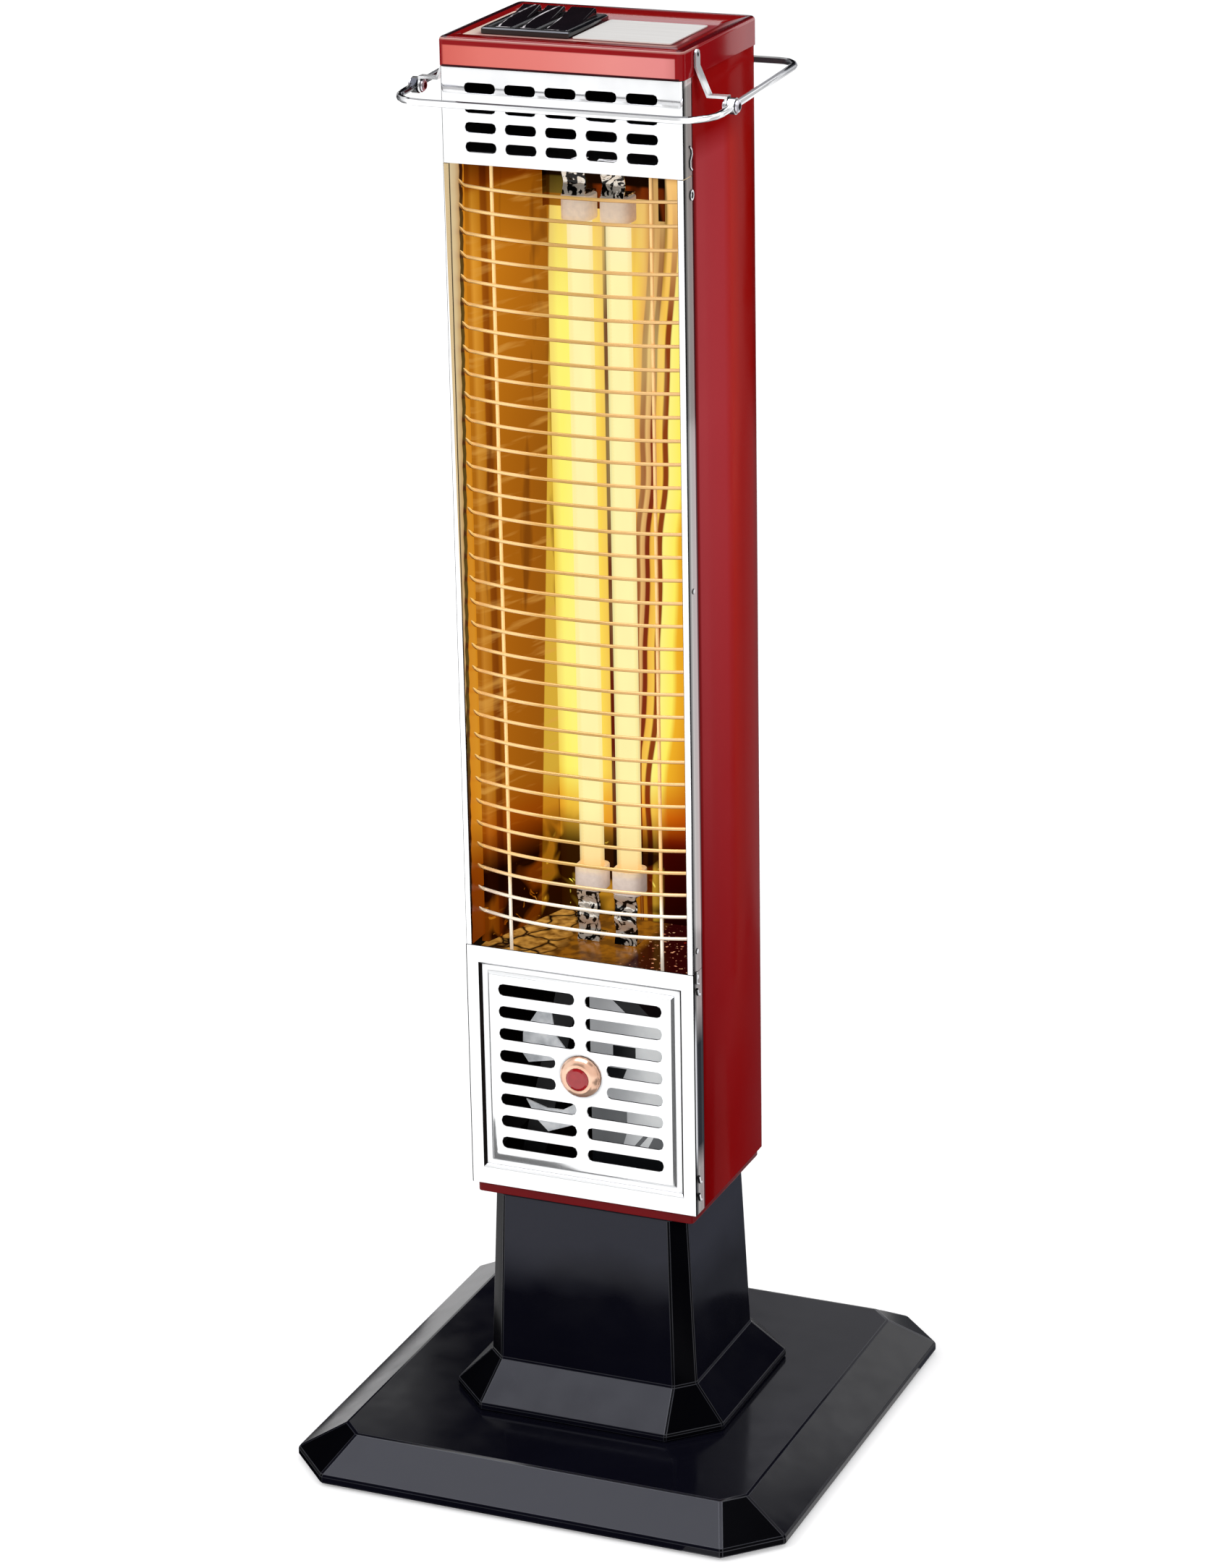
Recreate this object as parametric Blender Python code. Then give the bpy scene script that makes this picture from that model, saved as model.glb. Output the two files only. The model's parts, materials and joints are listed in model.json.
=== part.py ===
"""Quartz tower heater: a slim steel tower on a moulded pedestal and base.

Metres, +Z up. The origin is the middle of the footprint, on the floor. The front faces -Y.
The stack is built from the floor: feet, base, pedestal, pan, tower, cap.
"""

import math

import bmesh
import bpy
from mathutils import Matrix, Vector

# Clearances that every piece shares
SEAT = 0.0003            # left between pieces that touch
RUN = 0.0004             # left round a piece that moves
OVERRUN = 0.004          # how far a cutter passes the cut it makes
SMALL_SIDES = 16         # sides of pins, feet, bosses and small bores
ROUND_SIDES = 20         # sides of the larger turned pieces
WELD = 0.0005            # how deep welded or moulded members sink into each other
SMOOTH_ANGLE_DEG = 35    # edges sharper than this stay crisp on round pieces
SOFTEN_ANGLE_DEG = 25    # edges sharper than this are softened on moulded pieces

# Base: a chamfered moulded cover over a steel plate on four feet
BASE_WIDTH = 0.305
BASE_DEPTH = 0.315
BASE_CHAMFER = 0.028
BASE_FLOOR_GAP = 0.0015
BASE_RIM_HEIGHT = 0.0053
BASE_SLOPE_RUN = 0.0275
BASE_SLOPE_RISE = 0.0157
BASE_TOP_CHAMFER = 0.0115
BASE_WALL = 0.0025
BASE_EDGE = 0.0010
BASE_PLATE = 0.0020
BASE_BOSS_RADIUS = 0.0055
BASE_BOSS_INSET = 0.0500
FOOT_HEIGHT = 0.0040
FOOT_RADIUS = 0.0110
FOOT_TAPER = 0.0010
FOOT_SCREW_RADIUS = 0.0040
FOOT_SCREW_DEPTH = 0.0015
CABLE_WAY_WIDTH = 0.050
CABLE_WAY_DEPTH = 0.036
CABLE_WAY_CORNER = 0.006

# Tip-over switch under the base, with the plunger that the floor pushes in
TIP_SWITCH_INSET = 0.0525
TIP_BODY_WIDTH = 0.024
TIP_BODY_DEPTH = 0.018
TIP_PLUNGER_RADIUS = 0.0030
TIP_FLANGE_RADIUS = 0.0048
TIP_FLANGE_HEIGHT = 0.0015
TIP_TRAVEL = 0.0040
TIP_ROOF = 0.0010

# Pedestal: a tapered column that flares into a skirt
SKIRT_WIDTH = 0.169
SKIRT_DEPTH = 0.155
SKIRT_CHAMFER = 0.026
SKIRT_LIP = 0.0040
SKIRT_RISE = 0.0195
COLUMN_FOOT_WIDTH = 0.130
COLUMN_FOOT_DEPTH = 0.108
COLUMN_FOOT_CHAMFER = 0.0105
COLUMN_RISE = 0.1050
COLUMN_HEAD_WIDTH = 0.120
COLUMN_HEAD_DEPTH = 0.102
COLUMN_HEAD_CHAMFER = 0.0085
COLUMN_WALL = 0.0025
COLUMN_EDGE = 0.0008
CLAMP_PLATE = 0.0020
CLAMP_PLATE_INSET = 0.0080

# Tower: the sheet-steel box and its chromed front
TOWER_WIDTH = 0.140
TOWER_DEPTH = 0.107
PAN_DROP = 0.0060
PAN_WALL_HEIGHT = 0.0085
PAN_SHEET = 0.0010
PAN_CORNER = 0.0015
LOWER_PANEL_HEIGHT = 0.1485
WINDOW_HEIGHT = 0.4535
TOP_PANEL_HEIGHT = 0.0525
HOUSING_SHEET = 0.0010
HOUSING_BEND = 0.0030
PANEL_SHEET = 0.0010
PANEL_BEND = 0.0018
FLANGE_DEPTH = 0.0140
STILE_WIDTH = 0.0040
STILE_SHEET = 0.0010
STILE_BEND = 0.0014
JAMB_DEPTH = 0.0185
CORNER_STEPS = 4

# Slots punched in the two chromed panels
TOP_SLOT_ROWS = 4
TOP_SLOT_COLUMNS = 5
TOP_SLOT_WIDTH = 0.0180
TOP_SLOT_HEIGHT = 0.0056
TOP_SLOT_PITCH_X = 0.0234
TOP_SLOT_PITCH_Z = 0.0107
TOP_SLOT_FIRST_DROP = 0.0108
LOWER_SLOT_ROWS = 8
LOWER_SLOT_LONG = 0.0470
LOWER_SLOT_SHORT = 0.0344
LOWER_SLOT_HEIGHT = 0.0070
LOWER_SLOT_PITCH = 0.0136
LOWER_SLOT_SIDE_MARGIN = 0.0057
LOWER_SLOT_LIFT = 0.0012
SLOT_CORNER_SHARE = 0.40
SLOT_CORNER_STEPS = 2
GROOVE_SIDE_MARGIN = 0.0075
GROOVE_TOP_MARGIN = 0.0100
GROOVE_BOTTOM_MARGIN = 0.0105
GROOVE_WIDTH = 0.0065
GROOVE_DEPTH = 0.0020
GROOVE_SLOPE = 0.0016
BADGE_RADIUS = 0.0125
BADGE_HEIGHT = 0.0050
BADGE_FACE_RADIUS = 0.0068
BADGE_FACE_DEPTH = 0.0008
BADGE_FACE_THICKNESS = 0.0012
BADGE_FACE_CROWN_SHARE = 0.8
BADGE_LIFT = 0.0010
BADGE_STEPS = 5

# Cap, with its shallow tray for the switches and the plate
CAP_HEIGHT = 0.0158
CAP_OVERHANG = 0.0008
CAP_SHEET = 0.0012
CAP_CORNER = 0.0040
CAP_EDGE = 0.0022
CAP_EDGE_STEPS = 3
TRAY_DEPTH = 0.0018
TRAY_SIDE_MARGIN = 0.0085
TRAY_FRONT_MARGIN = 0.0095
TRAY_REAR_MARGIN = 0.0240
TRAY_SLOPE = 0.0020
TRAY_CORNER = 0.0030

# Switches: three rockers in one body under a glossy bezel
BEZEL_WIDTH = 0.0520
BEZEL_DEPTH = 0.0560
BEZEL_HEIGHT = 0.0034
BEZEL_CORNER = 0.0016
BEZEL_CORNER_STEPS = 2
BEZEL_CENTRE_X = -0.0290
BEZEL_CENTRE_Y = -0.0050
ROCKER_LENGTH = 0.0430
ROCKER_WIDTHS = (0.0112, 0.0112, 0.0152)
ROCKER_WALL = 0.0022
ROCKER_RISE = 0.0054
ROCKER_DISH = 0.0012
ROCKER_DROP = 0.0030
ROCKER_TILT_DEG = 8.0
ROCKER_STEPS = 6
ROCKER_EDGE = 0.0008
TRUNNION_RADIUS = 0.0014
TRUNNION_REACH = 0.0008
SWITCH_BODY_HEIGHT = 0.0230
SWITCH_BODY_WALL = 0.0014
POCKET_FLOOR_CLEARANCE = 0.0010
PLATE_WIDTH = 0.0570
PLATE_DEPTH = 0.0540
PLATE_SHEET = 0.0006
PLATE_CORNER = 0.0015
PLATE_CORNER_STEPS = 3
PLATE_GAP = 0.0012

# Guard of bowed wires in front of the lamps
GUARD_WIRES = 33
GUARD_PITCH = 0.0132
GUARD_WIRE_RADIUS = 0.0010
GUARD_BOW = 0.0112
GUARD_BOW_POWER = 2.4
GUARD_FRONT_SETBACK = 0.0055
GUARD_NOTCH_REACH = 0.0004
GUARD_SEGMENTS = 6
GUARD_SIDES = 5
GUARD_UPRIGHT_SPACING = 0.0930
NOTCH_DEPTH = 0.0035

# Lamps: two quartz tubes with ceramic caps, in front of a folded reflector
LAMP_SPACING = 0.0230
LAMP_CENTRE_Y = -0.0040
LAMP_RADIUS = 0.0070
LAMP_WALL = 0.0010
LAMP_SIDES = 20
LAMP_SOCKET_DEPTH = 0.0060
LAMP_CAP_WIDTH = 0.0180
LAMP_CAP_DEPTH = 0.0164
LAMP_CAP_HEIGHT = 0.0140
LAMP_CAP_CORNER = 0.0050
LAMP_CAP_CORNER_STEPS = 3
COIL_RADIUS = 0.0040
COIL_WIRE_RADIUS = 0.0006
COIL_TURNS = 12
COIL_SIDES = 3
COIL_POINTS_PER_TURN = 8
COIL_TAIL = 0.0060
HOLDER_WIDTH = 0.0135
HOLDER_SHEET = 0.0008
HOLDER_REACH = 0.0080
HOLDER_WAVE = 0.0024
HOLDER_WAVES = 2
HOLDER_STEPS = 16
LOWER_HOLDER_HEIGHT = 0.0300
UPPER_HOLDER_HEIGHT = 0.0270
REFLECTOR_SHEET = 0.0008
REFLECTOR_BACK_WIDTH = 0.0900
REFLECTOR_BACK_SETBACK = 0.0815
REFLECTOR_MOUTH_WIDTH = 0.1290
REFLECTOR_FLANGE = 0.0180

# Decks above and below the lamps, and what the lower compartment holds
DECK_SHEET = 0.0010
DECK_FLANGE = 0.0100
DECK_BEND_STEPS = 2
LOWER_DECK_DROP = 0.0055
UPPER_DECK_RISE = 0.0045
CUTOUT_RADIUS = 0.0080
CUTOUT_HEIGHT = 0.0060
CUTOUT_STEM_RADIUS = 0.0050
CUTOUT_Y = 0.0240
BRACE_WIDTH = 0.0140
BRACE_SHEET = 0.0012
BRACE_FOOT_X = -0.0440
BRACE_HEAD_X = -0.0110
BRACE_SETBACK = 0.0200
COVER_LEFT_X = -0.0010
COVER_FOOT_WIDTH = 0.0460
COVER_HEAD_WIDTH = 0.0130
COVER_SHOULDER_DROP = 0.0320
COVER_HEADROOM = 0.0064
COVER_DEPTH = 0.0340
COVER_SHEET = 0.0010
COVER_SETBACK = 0.0170
TERMINAL_WIDTH = 0.0400
TERMINAL_DEPTH = 0.0180
TERMINAL_HEIGHT = 0.0150
TERMINAL_WAYS = 4
TERMINAL_SLOT = 0.0060
TERMINAL_WAY_SHARE = 0.33
TERMINAL_CENTRE_X = -0.0280
TERMINAL_CENTRE_Y = 0.0250
INLET_RADIUS = 0.0060
INLET_BORE = 0.0038
INLET_FLANGE_RADIUS = 0.0090
INLET_FLANGE = 0.0025
INLET_NOSE = 0.0100
INLET_RISE = 0.0300
INLET_X = 0.0400

# Handle: a wire ring that swings on two folded brackets and rests a little rear up
HANDLE_WIRE_RADIUS = 0.0020
HANDLE_HALF_WIDTH = 0.0920
HANDLE_FRONT_REACH = 0.0355
HANDLE_REAR_REACH = 0.1010
HANDLE_FRONT_CORNER = 0.0180
HANDLE_REAR_CORNER = 0.0120
HANDLE_CORNER_STEPS = 5
HANDLE_PIVOT_Y = -0.0365
HANDLE_PIVOT_DROP = 0.0151
HANDLE_REST_TILT_DEG = 2.5
HANDLE_EYE_RADIUS = 0.0046
HANDLE_SIDES = 8
BRACKET_WIDTH = 0.0056
BRACKET_SHEET = 0.0014
BRACKET_TOP_DROP = 0.0018
BRACKET_PAD = 0.0090
BRACKET_LEAN = 0.0070
BRACKET_HOLE_RADIUS = 0.0012
EAR_RADIUS = 0.0040
RIVET_RADIUS = 0.0016
RIVET_HEAD_RADIUS = 0.0034
RIVET_HEAD = 0.0014
RIVET_CROWN_SHARE = 0.7

# Heights and planes that follow from the sizes above
base_rim_top = BASE_FLOOR_GAP + BASE_RIM_HEIGHT
base_top = base_rim_top + BASE_SLOPE_RISE
plate_bottom = FOOT_HEIGHT + SEAT
plate_top = plate_bottom + BASE_PLATE
tip_switch_y = BASE_DEPTH / 2 - TIP_SWITCH_INSET
column_bottom = base_top + SEAT
column_top = column_bottom + SKIRT_LIP + SKIRT_RISE + COLUMN_RISE
pan_bottom = column_top + SEAT
tower_bottom = pan_bottom + PAN_DROP
window_bottom = tower_bottom + LOWER_PANEL_HEIGHT
window_top = window_bottom + WINDOW_HEIGHT
tower_top = window_top + TOP_PANEL_HEIGHT
cap_bottom = tower_top + SEAT
cap_top = cap_bottom + CAP_HEIGHT
half_width = TOWER_WIDTH / 2
front = -TOWER_DEPTH / 2
rear = TOWER_DEPTH / 2
panel_back = front + PANEL_SHEET
inner_front = panel_back + SEAT
inner_rear = rear - HOUSING_SHEET - SEAT
side_inner = half_width - HOUSING_SHEET - SEAT
joggle_outer = half_width - PANEL_SHEET - SEAT
joggle_inner = joggle_outer - HOUSING_SHEET
deck_half = joggle_inner - SEAT
lower_deck_top = window_bottom - LOWER_DECK_DROP
upper_deck_bottom = window_top + UPPER_DECK_RISE
tray_floor = cap_top - TRAY_DEPTH
pan_floor = pan_bottom + PAN_SHEET

# Finishes: colour, roughness and metallic value
RED_PAINT = ((0.36, 0.012, 0.016), 0.32, 0.0)
BLACK_GLOSS = ((0.012, 0.012, 0.018), 0.22, 0.0)
BLACK_PLASTIC = ((0.020, 0.020, 0.022), 0.45, 0.0)
RUBBER = ((0.015, 0.015, 0.015), 0.85, 0.0)
CHROME = ((0.82, 0.83, 0.84), 0.08, 1.0)
BRIGHT_STEEL = ((0.62, 0.63, 0.64), 0.25, 1.0)
ZINC_STEEL = ((0.42, 0.43, 0.45), 0.40, 1.0)
GOLD_REFLECTOR = ((0.70, 0.36, 0.08), 0.20, 1.0)
GLOWING_QUARTZ = ((1.0, 0.86, 0.42), 0.25, 0.0)
HOT_WIRE = ((1.0, 0.55, 0.16), 0.50, 0.0)
CERAMIC = ((0.62, 0.55, 0.50), 0.60, 0.0)
COPPER = ((0.72, 0.42, 0.32), 0.25, 1.0)
RED_ENAMEL = ((0.42, 0.015, 0.015), 0.25, 0.0)
BAKELITE = ((0.045, 0.030, 0.024), 0.50, 0.0)


def material(name, finish):
    """A Principled BSDF material for one sub-part."""
    colour, roughness, metallic = finish
    made = bpy.data.materials.new(name)
    made.use_nodes = True
    shader = made.node_tree.nodes["Principled BSDF"]
    shader.inputs["Base Color"].default_value = (*colour, 1.0)
    shader.inputs["Roughness"].default_value = roughness
    shader.inputs["Metallic"].default_value = metallic
    made.diffuse_color = (*colour, 1.0)
    return made


def place(name, shape, finish=None, origin=(0, 0, 0), smooth=False):
    """Turn a bmesh into a named object whose origin is at the given point."""
    bmesh.ops.recalc_face_normals(shape, faces=shape.faces)
    bmesh.ops.translate(shape, verts=shape.verts, vec=-Vector(origin))
    mesh = bpy.data.meshes.new(name)
    shape.to_mesh(mesh)
    shape.free()
    if smooth:
        mesh.shade_smooth()
        mesh.set_sharp_from_angle(angle=math.radians(SMOOTH_ANGLE_DEG))
    made = bpy.data.objects.new(name, mesh)
    made.location = origin
    bpy.context.scene.collection.objects.link(made)
    if finish:
        mesh.materials.append(material(name, finish))
    else:
        made.hide_render = True
        made.display_type = "WIRE"
    return made


def combine(target, tool, operation):
    """Cut the tool from the target, or join it to it."""
    modifier = target.modifiers.new(operation.lower(), "BOOLEAN")
    modifier.operation = operation
    modifier.solver = "EXACT"
    modifier.object = tool


def soften(target, width, outside=None):
    """Chamfer every sharp edge of the target, or only those among its outside vertices."""
    modifier = target.modifiers.new("soften", "BEVEL")
    modifier.width = width
    modifier.limit_method = "ANGLE"
    modifier.angle_limit = math.radians(SOFTEN_ANGLE_DEG)
    if outside:
        modifier.limit_method = "WEIGHT"
        weights = target.data.attributes.new("bevel_weight_edge", "FLOAT", "EDGE")
        for edge in target.data.edges:
            weights.data[edge.index].value = float(max(edge.vertices) < outside)


def corner_ring(z, half_x, half_y, corner, steps=1, centre=(0, 0)):
    """A level rectangle with round corners, or chamfered ones where steps is 1."""
    points = []
    for quarter, (side_x, side_y) in enumerate(((1, 1), (-1, 1), (-1, -1), (1, -1))):
        middle_x = centre[0] + side_x * (half_x - corner)
        middle_y = centre[1] + side_y * (half_y - corner)
        for step in range(steps + 1):
            angle = math.radians(90) * (quarter + step / steps)
            points.append(Vector((middle_x + corner * math.cos(angle),
                                  middle_y + corner * math.sin(angle), z)))
    return points


def round_ring(z, radius, sides, centre=(0, 0)):
    """A level circle."""
    return [Vector((centre[0] + radius * math.cos(math.tau * i / sides),
                    centre[1] + radius * math.sin(math.tau * i / sides), z)) for i in range(sides)]


def loft(rings, shape=None, looped=False):
    """Skin rings of equal length. A looped skin closes on its first ring, as a shell does."""
    shape = shape or bmesh.new()
    loops = [[shape.verts.new(point) for point in ring] for ring in rings]
    pairs = list(zip(loops, loops[1:]))
    if looped:
        pairs.append((loops[-1], loops[0]))
    else:
        shape.faces.new(loops[0])
        shape.faces.new(loops[-1])
    for lower, upper in pairs:
        for i, corner in enumerate(lower):
            j = (i + 1) % len(lower)
            shape.faces.new((corner, lower[j], upper[j], upper[i]))
    return shape


def prism(outline, axis, start, end, shape=None):
    """Extrude an outline along an axis. Its two coordinates are the other two axes, in order."""
    def point(first, second, along):
        return {"X": (along, first, second), "Y": (first, along, second),
                "Z": (first, second, along)}[axis]
    return loft([[Vector(point(*pair, along)) for pair in outline] for along in (start, end)], shape)


def box_outline(low_u, low_v, high_u, high_v):
    """The four corners of a rectangle."""
    return [(low_u, low_v), (high_u, low_v), (high_u, high_v), (low_u, high_v)]


def slot_outline(centre_u, centre_v, width, height):
    """A punched slot: a rectangle whose corners are rounded by a share of its height."""
    ring = corner_ring(0, width / 2, height / 2, height * SLOT_CORNER_SHARE, SLOT_CORNER_STEPS,
                       (centre_u, centre_v))
    return [(point.x, point.y) for point in ring]


def turned(profile, sides, axis="Z", centre=(0, 0, 0)):
    """The rings of a turned piece, one for each (radius, along) point of its profile."""
    rings = []
    for radius, along in profile:
        ring = []
        for i in range(sides):
            angle = math.tau * i / sides
            across, up = radius * math.cos(angle), radius * math.sin(angle)
            offset = {"Z": (across, up, along), "X": (along, across, up),
                      "Y": (across, along, up)}[axis]
            ring.append(Vector(centre) + Vector(offset))
        rings.append(ring)
    return rings


def bend(path, radius, steps=CORNER_STEPS):
    """Replace each inner corner of a path by an arc."""
    rounded = [path[0]]
    for before, corner, after in zip(path, path[1:], path[2:]):
        into = (corner - before).normalized()
        out = (after - corner).normalized()
        turn = into.angle_signed(out)
        reach = radius * math.tan(abs(turn) / 2)
        start = corner - into * reach
        side = Vector((into.y, -into.x)) if turn > 0 else Vector((-into.y, into.x))
        centre = start + side * radius
        for step in range(steps + 1):
            angle = turn * step / steps
            spoke = -side * radius
            cosine, sine = math.cos(-angle), math.sin(-angle)
            rounded.append(centre + Vector((spoke.x * cosine - spoke.y * sine,
                                            spoke.x * sine + spoke.y * cosine)))
    rounded.append(path[-1])
    return rounded


def offset(path, distance):
    """The path moved to its left by a distance, with mitred corners."""
    moved = []
    for i, point in enumerate(path):
        into = (point - path[i - 1]).normalized() if i else None
        out = (path[i + 1] - point).normalized() if i < len(path) - 1 else None
        into, out = into or out, out or into
        normal = Vector((-into.y - out.y, into.x + out.x)).normalized()
        moved.append(point + normal * (distance / normal.dot(Vector((-into.y, into.x)))))
    return moved


def bent_sheet(path, thickness, axis, start, end, shape=None):
    """Sheet metal: a folded path, thickened to its left and extruded along an axis."""
    return prism(list(path) + offset(path, thickness)[::-1], axis, start, end, shape)


def tube(path, radius, sides, up=(0, 0, 1), looped=False, shape=None):
    """A round wire along a path that stays square to the up direction."""
    rings = []
    count = len(path)
    for i, point in enumerate(path):
        before = path[i - 1] if i or looped else point
        after = path[(i + 1) % count] if i < count - 1 or looped else point
        along = (after - before).normalized()
        lift = (Vector(up) - along * along.dot(Vector(up))).normalized()
        side = along.cross(lift)
        rings.append([point + side * (radius * math.cos(math.tau * k / sides))
                      + lift * (radius * math.sin(math.tau * k / sides)) for k in range(sides)])
    return loft(rings, shape, looped)


def flat(points):
    """Plain pairs as 2-D vectors."""
    return [Vector(point) for point in points]


def mirrored(path):
    """A path on the other side of the tower."""
    return [Vector((-point.x, point.y)) for point in path]


def make_base():
    """The moulded cover with its screw bosses, the steel plate and the four feet."""
    half_x, half_y = BASE_WIDTH / 2, BASE_DEPTH / 2
    way_x, way_y = CABLE_WAY_WIDTH / 2, CABLE_WAY_DEPTH / 2
    top_x, top_y = half_x - BASE_SLOPE_RUN, half_y - BASE_SLOPE_RUN
    under = base_top - BASE_WALL
    rings = [
        corner_ring(BASE_FLOOR_GAP, half_x, half_y, BASE_CHAMFER),
        corner_ring(base_rim_top, half_x, half_y, BASE_CHAMFER),
        corner_ring(base_top, top_x, top_y, BASE_TOP_CHAMFER),
        corner_ring(base_top, way_x, way_y, CABLE_WAY_CORNER),
        corner_ring(under, way_x, way_y, CABLE_WAY_CORNER),
        corner_ring(under, top_x - BASE_WALL, top_y - BASE_WALL, BASE_TOP_CHAMFER),
        corner_ring(base_rim_top, half_x - 2 * BASE_WALL, half_y - 2 * BASE_WALL, BASE_CHAMFER),
        corner_ring(plate_top, half_x - BASE_WALL, half_y - BASE_WALL, BASE_CHAMFER),
        corner_ring(BASE_FLOOR_GAP, half_x - BASE_WALL, half_y - BASE_WALL, BASE_CHAMFER),
    ]
    cover = place("base_cover", loft(rings, looped=True), BLACK_GLOSS)
    soften(cover, BASE_EDGE, outside=3 * len(rings[0]))
    boss_x, boss_y = half_x - BASE_BOSS_INSET, half_y - BASE_BOSS_INSET
    bosses = bmesh.new()
    for side_x in (-1, 1):
        for side_y in (-1, 1):
            loft([round_ring(z, BASE_BOSS_RADIUS, SMALL_SIDES, (side_x * boss_x, side_y * boss_y))
                  for z in (plate_top + SEAT, under + WELD)], bosses)
    combine(cover, place("base_cover_bosses", bosses), "UNION")

    plate_x, plate_y = half_x - BASE_WALL - SEAT, half_y - BASE_WALL - SEAT
    plate = place("base_plate", loft([
        corner_ring(z, plate_x, plate_y, BASE_CHAMFER) for z in (plate_bottom, plate_top)]),
        ZINC_STEEL)
    hole = loft([round_ring(z, TIP_PLUNGER_RADIUS + 2 * RUN, SMALL_SIDES, (0, tip_switch_y))
                 for z in (plate_bottom - OVERRUN, plate_top + OVERRUN)])
    combine(plate, place("plunger_hole", hole), "DIFFERENCE")

    for name, side_x, side_y in (("foot_front_left", -1, -1), ("foot_front_right", 1, -1),
                                 ("foot_rear_left", -1, 1), ("foot_rear_right", 1, 1)):
        profile = ((FOOT_SCREW_RADIUS, FOOT_SCREW_DEPTH), (FOOT_SCREW_RADIUS, 0),
                   (FOOT_RADIUS - FOOT_TAPER, 0), (FOOT_RADIUS, FOOT_TAPER),
                   (FOOT_RADIUS, FOOT_HEIGHT))
        rings = turned(profile, SMALL_SIDES, centre=(side_x * boss_x, side_y * boss_y, 0))
        place(name, loft(rings), RUBBER, smooth=True)


def make_tip_switch():
    """A plunger that the floor holds in, and the switch body that it runs in."""
    flange_top = base_top - BASE_WALL - SEAT - TIP_ROOF - RUN
    flange_bottom = flange_top - TIP_FLANGE_HEIGHT
    body_top = base_top - BASE_WALL - SEAT
    body = place("tip_switch_body", prism(box_outline(
        -TIP_BODY_WIDTH / 2, tip_switch_y - TIP_BODY_DEPTH / 2,
        TIP_BODY_WIDTH / 2, tip_switch_y + TIP_BODY_DEPTH / 2), "Z", plate_top + SEAT, body_top),
        BAKELITE)
    centre = (0, tip_switch_y)
    bore = TIP_PLUNGER_RADIUS + RUN
    chamber = TIP_FLANGE_RADIUS + RUN
    cavity = loft([round_ring(plate_top - OVERRUN, bore, SMALL_SIDES, centre),
                   round_ring(flange_bottom - TIP_TRAVEL - RUN, bore, SMALL_SIDES, centre),
                   round_ring(flange_bottom - TIP_TRAVEL - RUN, chamber, SMALL_SIDES, centre),
                   round_ring(flange_top + RUN, chamber, SMALL_SIDES, centre)])
    combine(body, place("tip_switch_bore", cavity), "DIFFERENCE")
    profile = ((TIP_PLUNGER_RADIUS, SEAT), (TIP_PLUNGER_RADIUS, flange_bottom),
               (TIP_FLANGE_RADIUS, flange_bottom), (TIP_FLANGE_RADIUS, flange_top))
    place("tip_switch_plunger", loft(turned(profile, SMALL_SIDES, centre=(*centre, 0))), RUBBER,
          origin=(0, tip_switch_y, SEAT), smooth=True)


def make_pedestal():
    """The hollow column with its skirt, and the steel plate that clamps the tower to it."""
    lip_top = column_bottom + SKIRT_LIP
    foot = lip_top + SKIRT_RISE
    way_x, way_y = CABLE_WAY_WIDTH / 2, CABLE_WAY_DEPTH / 2
    wall = COLUMN_WALL
    levels = (
        (column_bottom, SKIRT_WIDTH, SKIRT_DEPTH, SKIRT_CHAMFER),
        (lip_top, SKIRT_WIDTH, SKIRT_DEPTH, SKIRT_CHAMFER),
        (foot, COLUMN_FOOT_WIDTH, COLUMN_FOOT_DEPTH, COLUMN_FOOT_CHAMFER),
        (column_top, COLUMN_HEAD_WIDTH, COLUMN_HEAD_DEPTH, COLUMN_HEAD_CHAMFER),
    )
    outer = [corner_ring(z, width / 2, depth / 2, chamfer) for z, width, depth, chamfer in levels]
    inner = [corner_ring(z, width / 2 - wall, depth / 2 - wall, chamfer)
             for z, width, depth, chamfer in levels]
    under = column_top - wall
    inner[3] = corner_ring(under, COLUMN_HEAD_WIDTH / 2 - wall, COLUMN_HEAD_DEPTH / 2 - wall,
                           COLUMN_HEAD_CHAMFER)
    inner[1] = corner_ring(column_bottom + wall, SKIRT_WIDTH / 2 - wall, SKIRT_DEPTH / 2 - wall,
                           SKIRT_CHAMFER)
    mouth = [corner_ring(z, way_x, way_y, CABLE_WAY_CORNER) for z in (column_top, under)]
    column = place("pedestal", loft(outer + mouth + inner[::-1], looped=True), BLACK_GLOSS)
    soften(column, COLUMN_EDGE, outside=len(outer) * len(outer[0]))

    clamp_x = COLUMN_HEAD_WIDTH / 2 - wall - CLAMP_PLATE_INSET
    clamp_y = COLUMN_HEAD_DEPTH / 2 - wall - CLAMP_PLATE_INSET
    top, bottom = under - SEAT, under - SEAT - CLAMP_PLATE
    rings = [corner_ring(bottom, clamp_x, clamp_y, CABLE_WAY_CORNER),
             corner_ring(top, clamp_x, clamp_y, CABLE_WAY_CORNER),
             corner_ring(top, way_x, way_y, CABLE_WAY_CORNER),
             corner_ring(bottom, way_x, way_y, CABLE_WAY_CORNER)]
    place("clamp_plate", loft(rings, looped=True), ZINC_STEEL)


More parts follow.
